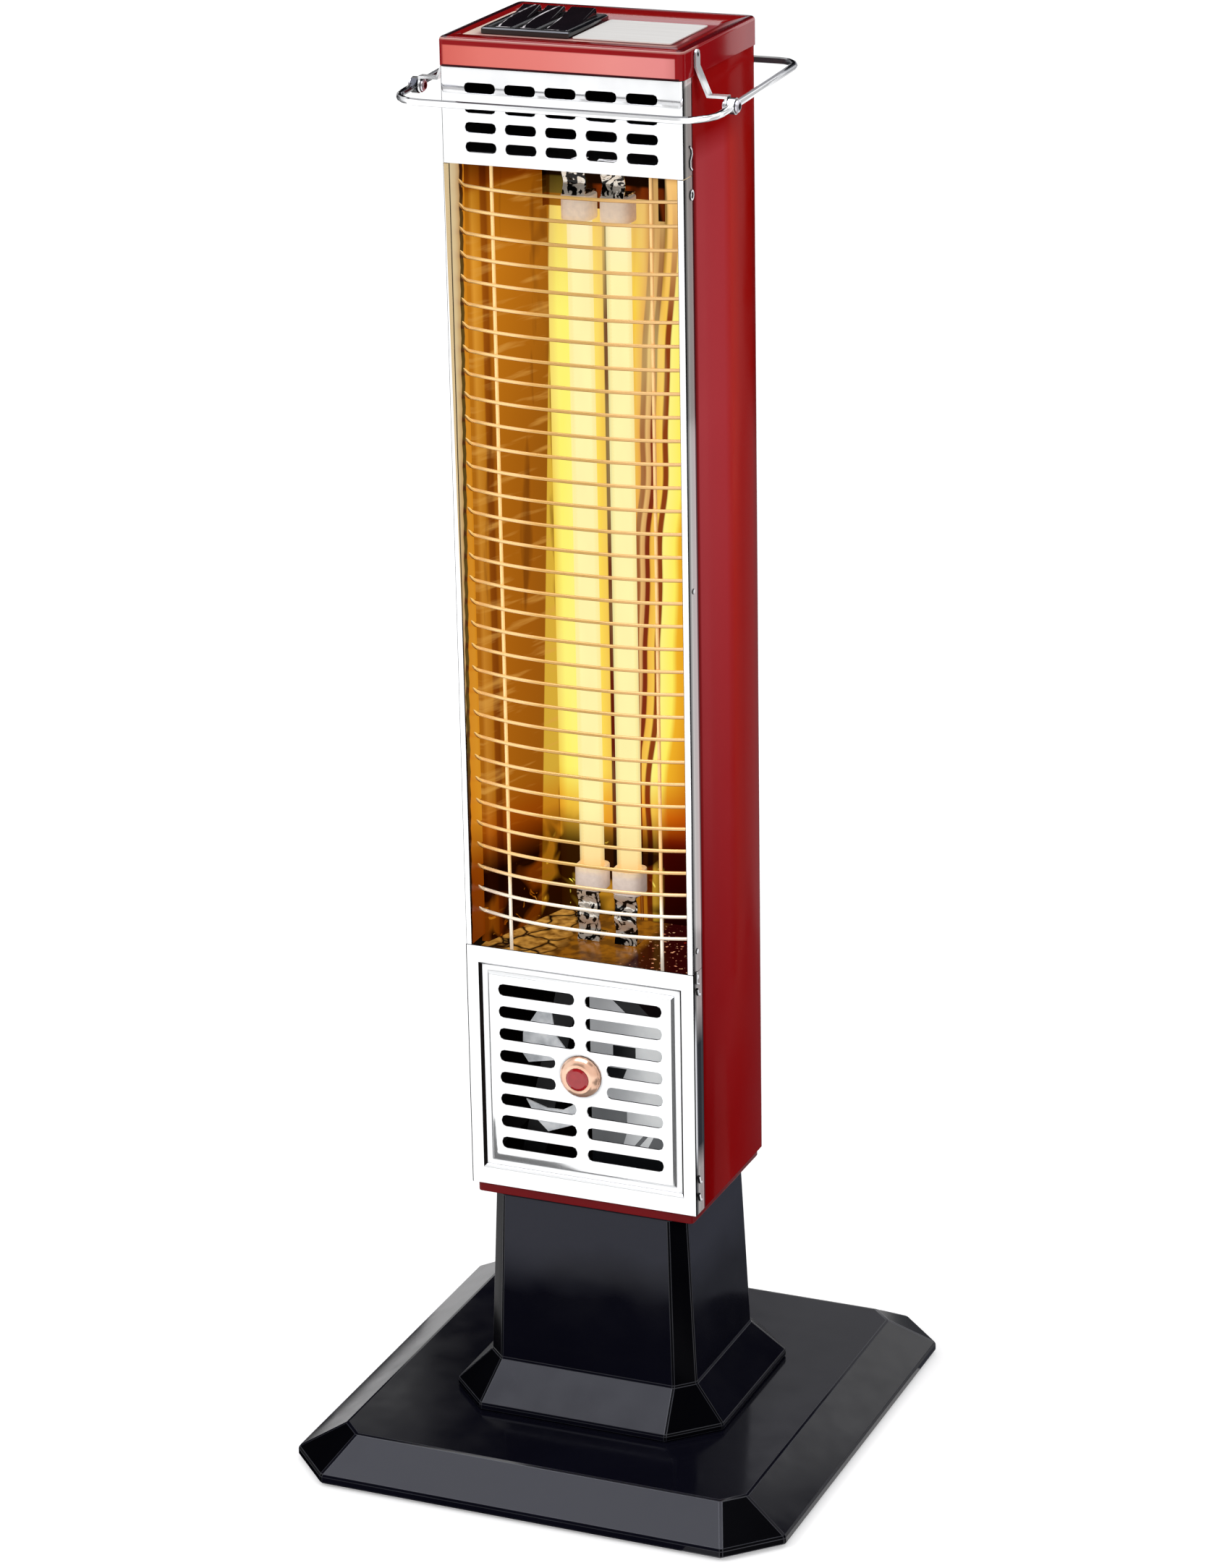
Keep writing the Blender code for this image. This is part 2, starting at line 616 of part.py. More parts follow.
def make_housing():
    """The bottom pan and the folded box of the tower, with the hole for the lead's inlet."""
    pan_x, pan_front, pan_rear = side_inner, inner_front, inner_rear
    centre = (0, (pan_front + pan_rear) / 2)
    pan_y = (pan_rear - pan_front) / 2
    wall_top = tower_bottom + PAN_WALL_HEIGHT
    narrow = joggle_inner - SEAT
    way = (CABLE_WAY_WIDTH / 2, CABLE_WAY_DEPTH / 2, CABLE_WAY_CORNER, CORNER_STEPS)
    inner = (narrow - PAN_SHEET, pan_y - PAN_SHEET, PAN_CORNER, CORNER_STEPS, centre)
    outer = (narrow, pan_y, PAN_CORNER + PAN_SHEET, CORNER_STEPS, centre)
    rings = [corner_ring(pan_bottom, *outer), corner_ring(wall_top, *outer),
             corner_ring(wall_top, *inner), corner_ring(pan_floor, *inner),
             corner_ring(pan_floor, *way), corner_ring(pan_bottom, *way)]
    place("bottom_pan", loft(rings, looped=True), RED_PAINT)

    joggle = front + FLANGE_DEPTH + SEAT
    right = flat(((joggle_outer, inner_front), (joggle_outer, joggle), (half_width, joggle)))
    corners = bend(flat(((half_width, joggle), (half_width, rear), (-half_width, rear),
                         (-half_width, joggle))), HOUSING_BEND)
    path = right + corners[1:-1] + mirrored(right)[::-1]
    housing = place("tower_housing",
                    bent_sheet(path, HOUSING_SHEET, "Z", tower_bottom, tower_top), RED_PAINT)
    inlet_z = tower_bottom + INLET_RISE
    hole = loft(turned(((INLET_RADIUS, rear - OVERRUN), (INLET_RADIUS, rear + OVERRUN)),
                       SMALL_SIDES, "Y", (INLET_X, 0, inlet_z)))
    combine(housing, place("inlet_hole", hole), "DIFFERENCE")

    neck = INLET_RADIUS - SEAT
    inside, outside = rear - HOUSING_SHEET - SEAT, rear + SEAT
    profile = ((INLET_BORE, inside - INLET_FLANGE), (INLET_FLANGE_RADIUS, inside - INLET_FLANGE),
               (INLET_FLANGE_RADIUS, inside), (neck, inside), (neck, outside),
               (INLET_FLANGE_RADIUS, outside), (INLET_FLANGE_RADIUS, outside + INLET_FLANGE),
               (neck, outside + INLET_FLANGE), (INLET_BORE + SEAT, outside + INLET_NOSE),
               (INLET_BORE, outside + INLET_NOSE))
    rings = turned(profile, SMALL_SIDES, "Y", (INLET_X, 0, inlet_z))
    place("cord_inlet", loft(rings, looped=True), RUBBER, smooth=True)


def make_top_louvre():
    """The upper chromed panel: a folded sheet with rows of punched slots."""
    path = bend(flat(((-half_width, front + FLANGE_DEPTH), (-half_width, front),
                      (half_width, front), (half_width, front + FLANGE_DEPTH))), PANEL_BEND)
    panel = place("top_louvre_panel",
                  bent_sheet(path, PANEL_SHEET, "Z", window_top, tower_top), CHROME)
    slots = bmesh.new()
    for row in range(TOP_SLOT_ROWS):
        z = tower_top - TOP_SLOT_FIRST_DROP - row * TOP_SLOT_PITCH_Z
        for column in range(TOP_SLOT_COLUMNS):
            x = (column - (TOP_SLOT_COLUMNS - 1) / 2) * TOP_SLOT_PITCH_X
            prism(slot_outline(x, z, TOP_SLOT_WIDTH, TOP_SLOT_HEIGHT), "Y",
                  front - OVERRUN, panel_back + OVERRUN, slots)
    combine(panel, place("top_slots", slots), "DIFFERENCE")


def make_lower_louvre():
    """The lower chromed panel: a sheet with a pressed groove, slots, a boss and side returns."""
    shape = bmesh.new()
    low, high = tower_bottom, window_bottom
    groove_x = half_width - GROOVE_SIDE_MARGIN
    groove_low, groove_high = low + GROOVE_BOTTOM_MARGIN, high - GROOVE_TOP_MARGIN
    levels = [(half_width, low, high, front)]
    for inset, y in ((0, front), (GROOVE_SLOPE, front + GROOVE_DEPTH),
                     (GROOVE_WIDTH - GROOVE_SLOPE, front + GROOVE_DEPTH), (GROOVE_WIDTH, front)):
        levels.append((groove_x - inset, groove_low + inset, groove_high - inset, y))
    loops = [[shape.verts.new((x, y, z)) for x, z in box_outline(-half, bottom, half, top)]
             for half, bottom, top, y in levels]
    for outer, inner in zip(loops, loops[1:]):
        for i in range(4):
            j = (i + 1) % 4
            shape.faces.new((outer[i], outer[j], inner[j], inner[i]))
    shape.faces.new(loops[-1])
    for side in (-1, 1):
        edge = [vert for vert in loops[0] if vert.co.x * side > 0]
        back = [shape.verts.new((vert.co.x, front + FLANGE_DEPTH, vert.co.z)) for vert in edge]
        shape.faces.new((edge[0], edge[1], back[1], back[0]))
    bmesh.ops.recalc_face_normals(shape, faces=shape.faces)
    if loops[-1][0].link_faces[0].normal.y > 0:
        bmesh.ops.reverse_faces(shape, faces=shape.faces)
    mesh = bpy.data.meshes.new("lower_louvre_panel")
    shape.to_mesh(mesh)
    shape.free()
    panel = bpy.data.objects.new("lower_louvre_panel", mesh)
    bpy.context.scene.collection.objects.link(panel)
    mesh.materials.append(material("lower_louvre_panel", CHROME))
    wall = panel.modifiers.new("sheet", "SOLIDIFY")
    wall.thickness = PANEL_SHEET
    wall.offset = -1
    wall.use_even_offset = True
    wall.use_quality_normals = True

    slots = bmesh.new()
    middle = (groove_low + groove_high) / 2 + LOWER_SLOT_LIFT
    outer_edge = groove_x - GROOVE_WIDTH - LOWER_SLOT_SIDE_MARGIN
    for row in range(LOWER_SLOT_ROWS):
        z = middle + ((LOWER_SLOT_ROWS - 1) / 2 - row) * LOWER_SLOT_PITCH
        beside_badge = row in (LOWER_SLOT_ROWS // 2 - 1, LOWER_SLOT_ROWS // 2)
        width = LOWER_SLOT_SHORT if beside_badge else LOWER_SLOT_LONG
        for side in (-1, 1):
            prism(slot_outline(side * (outer_edge - width / 2), z, width, LOWER_SLOT_HEIGHT), "Y",
                  front - OVERRUN, panel_back + OVERRUN, slots)
    combine(panel, place("lower_slots", slots), "DIFFERENCE")

    back = front - SEAT
    face = back - BADGE_HEIGHT
    well = face + BADGE_FACE_DEPTH
    well_radius = BADGE_FACE_RADIUS + SEAT
    rim = BADGE_RADIUS - well_radius
    profile = [(BADGE_RADIUS, back)]
    for step in range(1, BADGE_STEPS + 1):
        angle = math.radians(90) * step / BADGE_STEPS
        profile.append((well_radius + rim * math.cos(angle), back - BADGE_HEIGHT * math.sin(angle)))
    profile += [(well_radius, well)]
    centre = (0, 0, middle + BADGE_LIFT)
    place("badge_boss", loft(turned(profile, ROUND_SIDES, "Y", centre)), COPPER, smooth=True)
    disc_back = well - SEAT
    disc = ((BADGE_FACE_RADIUS, disc_back),
            (BADGE_FACE_RADIUS, disc_back - BADGE_FACE_THICKNESS / 2),
            (BADGE_FACE_RADIUS * BADGE_FACE_CROWN_SHARE, disc_back - BADGE_FACE_THICKNESS))
    place("badge_disc", loft(turned(disc, ROUND_SIDES, "Y", centre)), RED_ENAMEL, smooth=True)


def guard_heights():
    """The height of each guard wire, spread about the window's middle."""
    middle = (window_bottom + window_top) / 2
    return [middle + (i - (GUARD_WIRES - 1) / 2) * GUARD_PITCH for i in range(GUARD_WIRES)]


def guard_plan(x, half_span):
    """How far forward a bowed guard wire stands at x."""
    middle = front + GUARD_FRONT_SETBACK
    return middle + GUARD_BOW * abs(x / half_span) ** GUARD_BOW_POWER


def make_window():
    """The two stiles, notched for the guard, and the guard itself, welded into one grille."""
    jamb = half_width - STILE_WIDTH
    jamb_rear = front + JAMB_DEPTH
    right = bend(flat(((half_width, front + FLANGE_DEPTH), (half_width, front), (jamb, front),
                       (jamb, jamb_rear))), STILE_BEND)
    low, high = window_bottom + SEAT, window_top - SEAT
    half_height = GUARD_WIRE_RADIUS + SEAT
    for name, side in (("left_stile", -1), ("right_stile", 1)):
        path = right if side > 0 else mirrored(right)
        stile = place(name, bent_sheet(path, -side * STILE_SHEET, "Z", low, high), CHROME)
        notches = bmesh.new()
        near, far = sorted((side * (jamb - OVERRUN), side * (jamb + STILE_SHEET + SEAT)))
        for z in guard_heights():
            prism(box_outline(near, jamb_rear - NOTCH_DEPTH, far, jamb_rear + OVERRUN), "Z",
                  z - half_height, z + half_height, notches)
        combine(stile, place(name + "_notches", notches), "DIFFERENCE")

    half_span = jamb + GUARD_NOTCH_REACH
    wires = bmesh.new()
    for z in guard_heights():
        stops = [half_span * (2 * i / GUARD_SEGMENTS - 1) for i in range(GUARD_SEGMENTS + 1)]
        tube([Vector((x, guard_plan(x, half_span), z)) for x in stops], GUARD_WIRE_RADIUS,
             GUARD_SIDES, shape=wires)
    bars = bmesh.new()
    upright_x = GUARD_UPRIGHT_SPACING / 2
    upright_y = guard_plan(upright_x, half_span) + 2 * GUARD_WIRE_RADIUS - WELD
    for side in (-1, 1):
        tube([Vector((side * upright_x, upright_y, z))
              for z in (lower_deck_top + SEAT, upper_deck_bottom - SEAT)],
             GUARD_WIRE_RADIUS, GUARD_SIDES, up=(1, 0, 0), shape=bars)
    guard = place("guard_grille", bars, BRIGHT_STEEL)
    combine(guard, place("guard_wires", wires), "UNION")


def make_decks():
    """The two steel decks that close the lamp chamber, and the thermal cut-out on the upper."""
    bend_radius = DECK_SHEET + SEAT
    lower = bend(flat(((-deck_half, lower_deck_top - DECK_FLANGE), (-deck_half, lower_deck_top),
                       (deck_half, lower_deck_top), (deck_half, lower_deck_top - DECK_FLANGE))),
                 bend_radius, DECK_BEND_STEPS)
    place("lower_deck", bent_sheet(lower, -DECK_SHEET, "Y", inner_front, inner_rear), ZINC_STEEL)
    upper = bend(flat(((-deck_half, upper_deck_bottom + DECK_FLANGE),
                       (-deck_half, upper_deck_bottom), (deck_half, upper_deck_bottom),
                       (deck_half, upper_deck_bottom + DECK_FLANGE))), bend_radius, DECK_BEND_STEPS)
    place("upper_deck", bent_sheet(upper, DECK_SHEET, "Y", inner_front, inner_rear), ZINC_STEEL)
    seat = upper_deck_bottom + DECK_SHEET + SEAT
    profile = ((CUTOUT_RADIUS, seat), (CUTOUT_RADIUS, seat + CUTOUT_HEIGHT / 2),
               (CUTOUT_STEM_RADIUS, seat + CUTOUT_HEIGHT / 2),
               (CUTOUT_STEM_RADIUS, seat + CUTOUT_HEIGHT))
    place("thermal_cutout", loft(turned(profile, ROUND_SIDES, centre=(0, CUTOUT_Y, 0))), BAKELITE,
          smooth=True)


def make_reflector():
    """The folded reflector, from one side return round the back to the other."""
    back_y = front + REFLECTOR_BACK_SETBACK
    mouth_y = front + JAMB_DEPTH + SEAT + GUARD_WIRE_RADIUS
    half_back, half_mouth = REFLECTOR_BACK_WIDTH / 2, REFLECTOR_MOUTH_WIDTH / 2
    right = flat(((half_back, back_y), (half_mouth, mouth_y), (side_inner, mouth_y),
                  (side_inner, mouth_y + REFLECTOR_FLANGE)))
    path = mirrored(right)[::-1] + right
    place("reflector", bent_sheet(path, REFLECTOR_SHEET, "Z", lower_deck_top + SEAT,
                                  upper_deck_bottom - SEAT), GOLD_REFLECTOR)


def lamp_levels():
    """The inner ends of the lower and the upper lamp caps."""
    low = lower_deck_top + 2 * SEAT + LOWER_HOLDER_HEIGHT + LAMP_CAP_HEIGHT
    high = upper_deck_bottom - 2 * SEAT - UPPER_HOLDER_HEIGHT - LAMP_CAP_HEIGHT
    return low, high


def make_lamp(name, x):
    """One quartz tube with its coil, its two ceramic caps and their spring holders."""
    low, high = lamp_levels()
    centre = (x, LAMP_CENTRE_Y)
    tube_low, tube_high = low - LAMP_SOCKET_DEPTH, high + LAMP_SOCKET_DEPTH
    bore = LAMP_RADIUS - LAMP_WALL
    rings = [round_ring(tube_low, LAMP_RADIUS, LAMP_SIDES, centre),
             round_ring(tube_high, LAMP_RADIUS, LAMP_SIDES, centre),
             round_ring(tube_high, bore, LAMP_SIDES, centre),
             round_ring(tube_low, bore, LAMP_SIDES, centre)]
    place("quartz_tube_" + name, loft(rings, looped=True), GLOWING_QUARTZ, smooth=True)

    coil_low, coil_high = tube_low + COIL_TAIL, tube_high - COIL_TAIL
    count = COIL_TURNS * COIL_POINTS_PER_TURN
    path = [Vector((x, LAMP_CENTRE_Y, tube_low))]
    for i in range(count + 1):
        angle = math.tau * i / COIL_POINTS_PER_TURN
        path.append(Vector((x + COIL_RADIUS * math.cos(angle),
                            LAMP_CENTRE_Y + COIL_RADIUS * math.sin(angle),
                            coil_low + (coil_high - coil_low) * i / count)))
    path.append(Vector((x, LAMP_CENTRE_Y, tube_high)))
    place("heating_coil_" + name, tube(path, COIL_WIRE_RADIUS, COIL_SIDES), HOT_WIRE, smooth=True)

    half_x, half_y = LAMP_CAP_WIDTH / 2, LAMP_CAP_DEPTH / 2
    socket = LAMP_RADIUS + SEAT
    for level, inner, direction in (("lower", low, -1), ("upper", high, 1)):
        outer = inner + direction * LAMP_CAP_HEIGHT
        cap = place("lamp_cap_{}_{}".format(level, name), loft([
            corner_ring(z, half_x, half_y, LAMP_CAP_CORNER, LAMP_CAP_CORNER_STEPS, centre)
            for z in sorted((inner, outer))]), CERAMIC)
        reach = inner + direction * (LAMP_SOCKET_DEPTH + SEAT)
        cut = loft([round_ring(z, socket, LAMP_SIDES, centre)
                    for z in sorted((inner - direction * OVERRUN, reach))])
        combine(cap, place("socket_{}_{}".format(level, name), cut), "DIFFERENCE")
        height = LOWER_HOLDER_HEIGHT if direction < 0 else UPPER_HOLDER_HEIGHT
        make_holder("lamp_holder_{}_{}".format(level, name), x, outer + direction * SEAT,
                    direction, height)


def make_holder(name, x, at_cap, direction, height):
    """A wavy spring strip between a lamp cap and its deck, with a foot at each end."""
    face = LAMP_CENTRE_Y - HOLDER_REACH
    rear_y = LAMP_CENTRE_Y + HOLDER_REACH
    points = [(rear_y, 0)]
    for step in range(HOLDER_STEPS + 1):
        share = step / HOLDER_STEPS
        points.append((face + HOLDER_WAVE * (1 - math.cos(math.tau * HOLDER_WAVES * share)) / 2,
                       share * height))
    points.append((rear_y, height))
    path = [Vector((y, at_cap + direction * rise)) for y, rise in points]
    sheet = bent_sheet(path, -direction * HOLDER_SHEET, "X", x - HOLDER_WIDTH / 2,
                       x + HOLDER_WIDTH / 2)
    place(name, sheet, BRIGHT_STEEL, smooth=True)


def make_lower_compartment():
    """What shows through the lower slots: a wiring cover, a brace, and the terminal block."""
    foot = pan_floor + SEAT
    brace_y = front + BRACE_SETBACK
    half = BRACE_WIDTH / 2
    head = lower_deck_top - DECK_SHEET - SEAT
    outline = [(BRACE_FOOT_X - half, foot), (BRACE_FOOT_X + half, foot),
               (BRACE_HEAD_X + half, head), (BRACE_HEAD_X - half, head)]
    place("chassis_brace", prism(outline, "Y", brace_y, brace_y + BRACE_SHEET), ZINC_STEEL)

    near = front + COVER_SETBACK
    far = near + COVER_DEPTH
    head_z = head - COVER_HEADROOM
    levels = ((foot, COVER_FOOT_WIDTH), (head_z - COVER_SHOULDER_DROP, COVER_FOOT_WIDTH),
              (head_z, COVER_HEAD_WIDTH))
    shape = bmesh.new()
    skins = []
    for inset in (0, COVER_SHEET):
        skin = []
        for z, width in levels:
            height = z - inset if z > foot else z
            outline = box_outline(COVER_LEFT_X + inset, near + inset,
                                  COVER_LEFT_X + width - inset, far - inset)
            skin.append([shape.verts.new((x, y, height)) for x, y in outline])
        shape.faces.new(skin[-1])
        skins.append(skin)
    outer, inner = skins
    for lower, upper in (*zip(outer, outer[1:]), *zip(inner, inner[1:]), (outer[0], inner[0])):
        for i in range(4):
            j = (i + 1) % 4
            shape.faces.new((lower[i], lower[j], upper[j], upper[i]))
    place("wiring_cover", shape, BRIGHT_STEEL)

    left, right = TERMINAL_CENTRE_X - TERMINAL_WIDTH / 2, TERMINAL_CENTRE_X + TERMINAL_WIDTH / 2
    low_y = TERMINAL_CENTRE_Y - TERMINAL_DEPTH / 2
    high_y = TERMINAL_CENTRE_Y + TERMINAL_DEPTH / 2
    top = foot + TERMINAL_HEIGHT
    block = place("terminal_block", prism(box_outline(left, low_y, right, high_y), "Z", foot, top),
                  BAKELITE)
    ways = bmesh.new()
    pitch = TERMINAL_WIDTH / TERMINAL_WAYS
    for way in range(TERMINAL_WAYS):
        x = left + (way + 0.5) * pitch
        for edge, reach in ((low_y, low_y - OVERRUN), (high_y, high_y + OVERRUN)):
            depth = TERMINAL_DEPTH * TERMINAL_WAY_SHARE
            inward = edge + (depth if edge == low_y else -depth)
            near_y, far_y = sorted((reach, inward))
            prism(box_outline(x - TERMINAL_SLOT / 2, near_y, x + TERMINAL_SLOT / 2, far_y), "Z",
                  top - TERMINAL_HEIGHT / 2, top + OVERRUN, ways)
    combine(block, place("terminal_ways", ways), "DIFFERENCE")


def switch_layout():
    """The pocket of each rocker: its middle and its width, side by side in the bezel."""
    total = sum(ROCKER_WIDTHS) + 2 * RUN * len(ROCKER_WIDTHS) + ROCKER_WALL * (
        len(ROCKER_WIDTHS) - 1)
    x = BEZEL_CENTRE_X - total / 2
    pockets = []
    for width in ROCKER_WIDTHS:
        pocket = width + 2 * RUN
        pockets.append((x + pocket / 2, width))
        x += pocket + ROCKER_WALL
    return pockets, total


def make_cap():
    """The pressed cap: a skirt, a rounded top edge and a tray with the switch opening."""
    half_x, half_y = half_width + CAP_OVERHANG, TOWER_DEPTH / 2 + CAP_OVERHANG
    tray_x = half_x - TRAY_SIDE_MARGIN
    tray_front, tray_rear = -half_y + TRAY_FRONT_MARGIN, half_y - TRAY_REAR_MARGIN
    tray_centre = (0, (tray_front + tray_rear) / 2)
    tray_y = (tray_rear - tray_front) / 2
    _, total = switch_layout()
    hole_x = total / 2 + SWITCH_BODY_WALL + SEAT
    hole_y = pocket_half() + SWITCH_BODY_WALL + SEAT
    hole_centre = (BEZEL_CENTRE_X, BEZEL_CENTRE_Y)
    steps = CORNER_STEPS
    sheet = CAP_SHEET
    rings = [corner_ring(cap_bottom, half_x, half_y, CAP_CORNER, steps)]
    for step in range(CAP_EDGE_STEPS + 1):
        angle = math.radians(90) * step / CAP_EDGE_STEPS
        inset = CAP_EDGE * (1 - math.cos(angle))
        rings.append(corner_ring(cap_top - CAP_EDGE * (1 - math.sin(angle)), half_x - inset,
                                 half_y - inset, CAP_CORNER - inset, steps))
    slope_x, slope_y = tray_x - TRAY_SLOPE, tray_y - TRAY_SLOPE
    rings += [
        corner_ring(cap_top, tray_x, tray_y, TRAY_CORNER, steps, tray_centre),
        corner_ring(tray_floor, slope_x, slope_y, TRAY_CORNER, steps, tray_centre),
        corner_ring(tray_floor, hole_x, hole_y, SEAT, steps, hole_centre),
        corner_ring(tray_floor - sheet, hole_x, hole_y, SEAT, steps, hole_centre),
        corner_ring(tray_floor - sheet, slope_x, slope_y, TRAY_CORNER, steps, tray_centre),
        corner_ring(cap_top - sheet, tray_x + sheet, tray_y + sheet, TRAY_CORNER, steps,
                    tray_centre),
        corner_ring(cap_top - sheet, half_x - CAP_EDGE, half_y - CAP_EDGE, CAP_CORNER - CAP_EDGE,
                    steps),
        corner_ring(cap_top - CAP_EDGE, half_x - sheet, half_y - sheet, CAP_CORNER - sheet, steps),
        corner_ring(cap_bottom, half_x - sheet, half_y - sheet, CAP_CORNER - sheet, steps),
    ]
    place("top_cap", loft(rings, looped=True), RED_PAINT)

    plate_left = BEZEL_CENTRE_X + BEZEL_WIDTH / 2 + PLATE_GAP
    outline = corner_ring(0, PLATE_WIDTH / 2, PLATE_DEPTH / 2, PLATE_CORNER, PLATE_CORNER_STEPS,
                          (plate_left + PLATE_WIDTH / 2, BEZEL_CENTRE_Y))
    place("rating_plate", prism([(point.x, point.y) for point in outline], "Z",
                                tray_floor + SEAT, tray_floor + SEAT + PLATE_SHEET), BRIGHT_STEEL)


def rocker_reach():
    """The farthest corner of a rocker from its pivot."""
    return math.hypot(ROCKER_LENGTH / 2, ROCKER_RISE)


def pocket_half():
    """Half the length of a pocket that clears the rocker at any tilt."""
    return rocker_reach() + RUN


def make_switches():
    """The bezel, the switch body with three pockets, and the three rockers."""
    pockets, total = switch_layout()
    centre = (BEZEL_CENTRE_X, BEZEL_CENTRE_Y)
    seat = tray_floor + SEAT
    bezel_top = seat + BEZEL_HEIGHT
    body_x, body_y = total / 2 + SWITCH_BODY_WALL, pocket_half() + SWITCH_BODY_WALL
    steps = BEZEL_CORNER_STEPS
    edge = BEZEL_CORNER / 2
    rings = [
        corner_ring(seat, BEZEL_WIDTH / 2, BEZEL_DEPTH / 2, BEZEL_CORNER, steps, centre),
        corner_ring(bezel_top - edge, BEZEL_WIDTH / 2, BEZEL_DEPTH / 2, BEZEL_CORNER, steps, centre),
        corner_ring(bezel_top, BEZEL_WIDTH / 2 - edge, BEZEL_DEPTH / 2 - edge, BEZEL_CORNER, steps,
                    centre),
        corner_ring(bezel_top, body_x + SEAT, body_y + SEAT, SEAT, steps, centre),
        corner_ring(seat, body_x + SEAT, body_y + SEAT, SEAT, steps, centre),
    ]
    place("switch_bezel", loft(rings, looped=True), BLACK_GLOSS)

    pivot_z = tray_floor
    body_bottom = bezel_top - SWITCH_BODY_HEIGHT
    body = place("switch_body", prism(box_outline(
        centre[0] - body_x, centre[1] - body_y, centre[0] + body_x, centre[1] + body_y), "Z",
        body_bottom, bezel_top - SEAT), BLACK_PLASTIC)
    tilt = math.radians(ROCKER_TILT_DEG)
    sweep = ROCKER_LENGTH / 2 * math.sin(tilt) + ROCKER_DROP * math.cos(tilt)
    pocket_floor = pivot_z - sweep - POCKET_FLOOR_CLEARANCE
    pocket_shape = bmesh.new()
    for x, width in pockets:
        prism(box_outline(x - width / 2 - RUN, centre[1] - pocket_half(), x + width / 2 + RUN,
                          centre[1] + pocket_half()), "Z", pocket_floor, bezel_top + OVERRUN,
              pocket_shape)
    combine(body, place("rocker_pockets", pocket_shape), "DIFFERENCE")
    first, last = pockets[0], pockets[-1]
    sockets = loft(turned(((TRUNNION_RADIUS + RUN, first[0] - first[1] / 2 - RUN - TRUNNION_REACH),
                           (TRUNNION_RADIUS + RUN, last[0] + last[1] / 2 + RUN + TRUNNION_REACH)),
                          SMALL_SIDES, "X", (0, centre[1], pivot_z)))
    combine(body, place("trunnion_sockets", sockets), "DIFFERENCE")

    for name, (x, width) in zip(("rocker_left", "rocker_middle", "rocker_right"), pockets):
        half = ROCKER_LENGTH / 2
        outline = [(-half, -ROCKER_DROP), (half, -ROCKER_DROP)]
        for step in range(ROCKER_STEPS + 1):
            share = 1 - 2 * step / ROCKER_STEPS
            outline.append((half * share, ROCKER_RISE - ROCKER_DISH * (1 - share ** 2)))
        turn = [(y * math.cos(tilt) - z * math.sin(tilt), y * math.sin(tilt) + z * math.cos(tilt))
                for y, z in outline]
        shape = prism([(centre[1] + y, pivot_z + z) for y, z in turn], "X", x - width / 2,
                      x + width / 2)
        pivot = (x, centre[1], pivot_z)
        rocker = place(name, shape, BLACK_GLOSS, origin=pivot)
        soften(rocker, ROCKER_EDGE)
        reach = width / 2 + TRUNNION_REACH
        pins = loft(turned(((TRUNNION_RADIUS, -reach), (TRUNNION_RADIUS, reach)),
                           SMALL_SIDES, "X", pivot))
        combine(rocker, place(name + "_pins", pins), "UNION")


def handle_pivot():
    """The height and depth of the handle's pivot."""
    return HANDLE_PIVOT_Y, tower_top - HANDLE_PIVOT_DROP + SEAT


def handle_path():
    """The middle line of the wire ring, turned about its pivot to where it rests."""
    pivot_y, pivot_z = handle_pivot()
    half_depth = (HANDLE_FRONT_REACH + HANDLE_REAR_REACH) / 2
    centre = (0, pivot_y + (HANDLE_REAR_REACH - HANDLE_FRONT_REACH) / 2)
    behind, ahead = (corner_ring(pivot_z, HANDLE_HALF_WIDTH, half_depth, corner,
                                 HANDLE_CORNER_STEPS, centre)
                     for corner in (HANDLE_REAR_CORNER, HANDLE_FRONT_CORNER))
    half_count = len(behind) // 2
    pivot = Vector((0, pivot_y, pivot_z))
    turn = Matrix.Rotation(math.radians(HANDLE_REST_TILT_DEG), 3, "X")
    return [pivot + turn @ (point - pivot) for point in behind[:half_count] + ahead[half_count:]]


def make_handle():
    """The swinging wire ring with its two eyes, and a bracket and a rivet each side."""
    origin = (0, *handle_pivot())
    handle = place("carry_handle", tube(handle_path(), HANDLE_WIRE_RADIUS, HANDLE_SIDES,
                                        looped=True), CHROME, origin=origin, smooth=True)
    eyes, holes = bmesh.new(), bmesh.new()
    for side in (-1, 1):
        near = HANDLE_HALF_WIDTH - HANDLE_WIRE_RADIUS + SEAT / 2
        far = HANDLE_HALF_WIDTH + HANDLE_WIRE_RADIUS - SEAT / 2
        profile = [(HANDLE_EYE_RADIUS, side * near), (HANDLE_EYE_RADIUS, side * far)]
        loft(turned(profile, SMALL_SIDES, "X", origin), eyes)
        bore = [(RIVET_RADIUS + RUN / 2, side * (near - OVERRUN)),
                (RIVET_RADIUS + RUN / 2, side * (far + OVERRUN))]
        loft(turned(bore, SMALL_SIDES, "X", origin), holes)
    combine(handle, place("handle_eyes", eyes), "UNION")
    combine(handle, place("handle_bores", holes), "DIFFERENCE")
    for name, side in (("left", -1), ("right", 1)):
        make_bracket(name, side)
        make_rivet(name, side)


def ear_plane():
    """The outer face of a bracket's ear, beside the handle's eye."""
    return HANDLE_HALF_WIDTH - HANDLE_WIRE_RADIUS - RUN


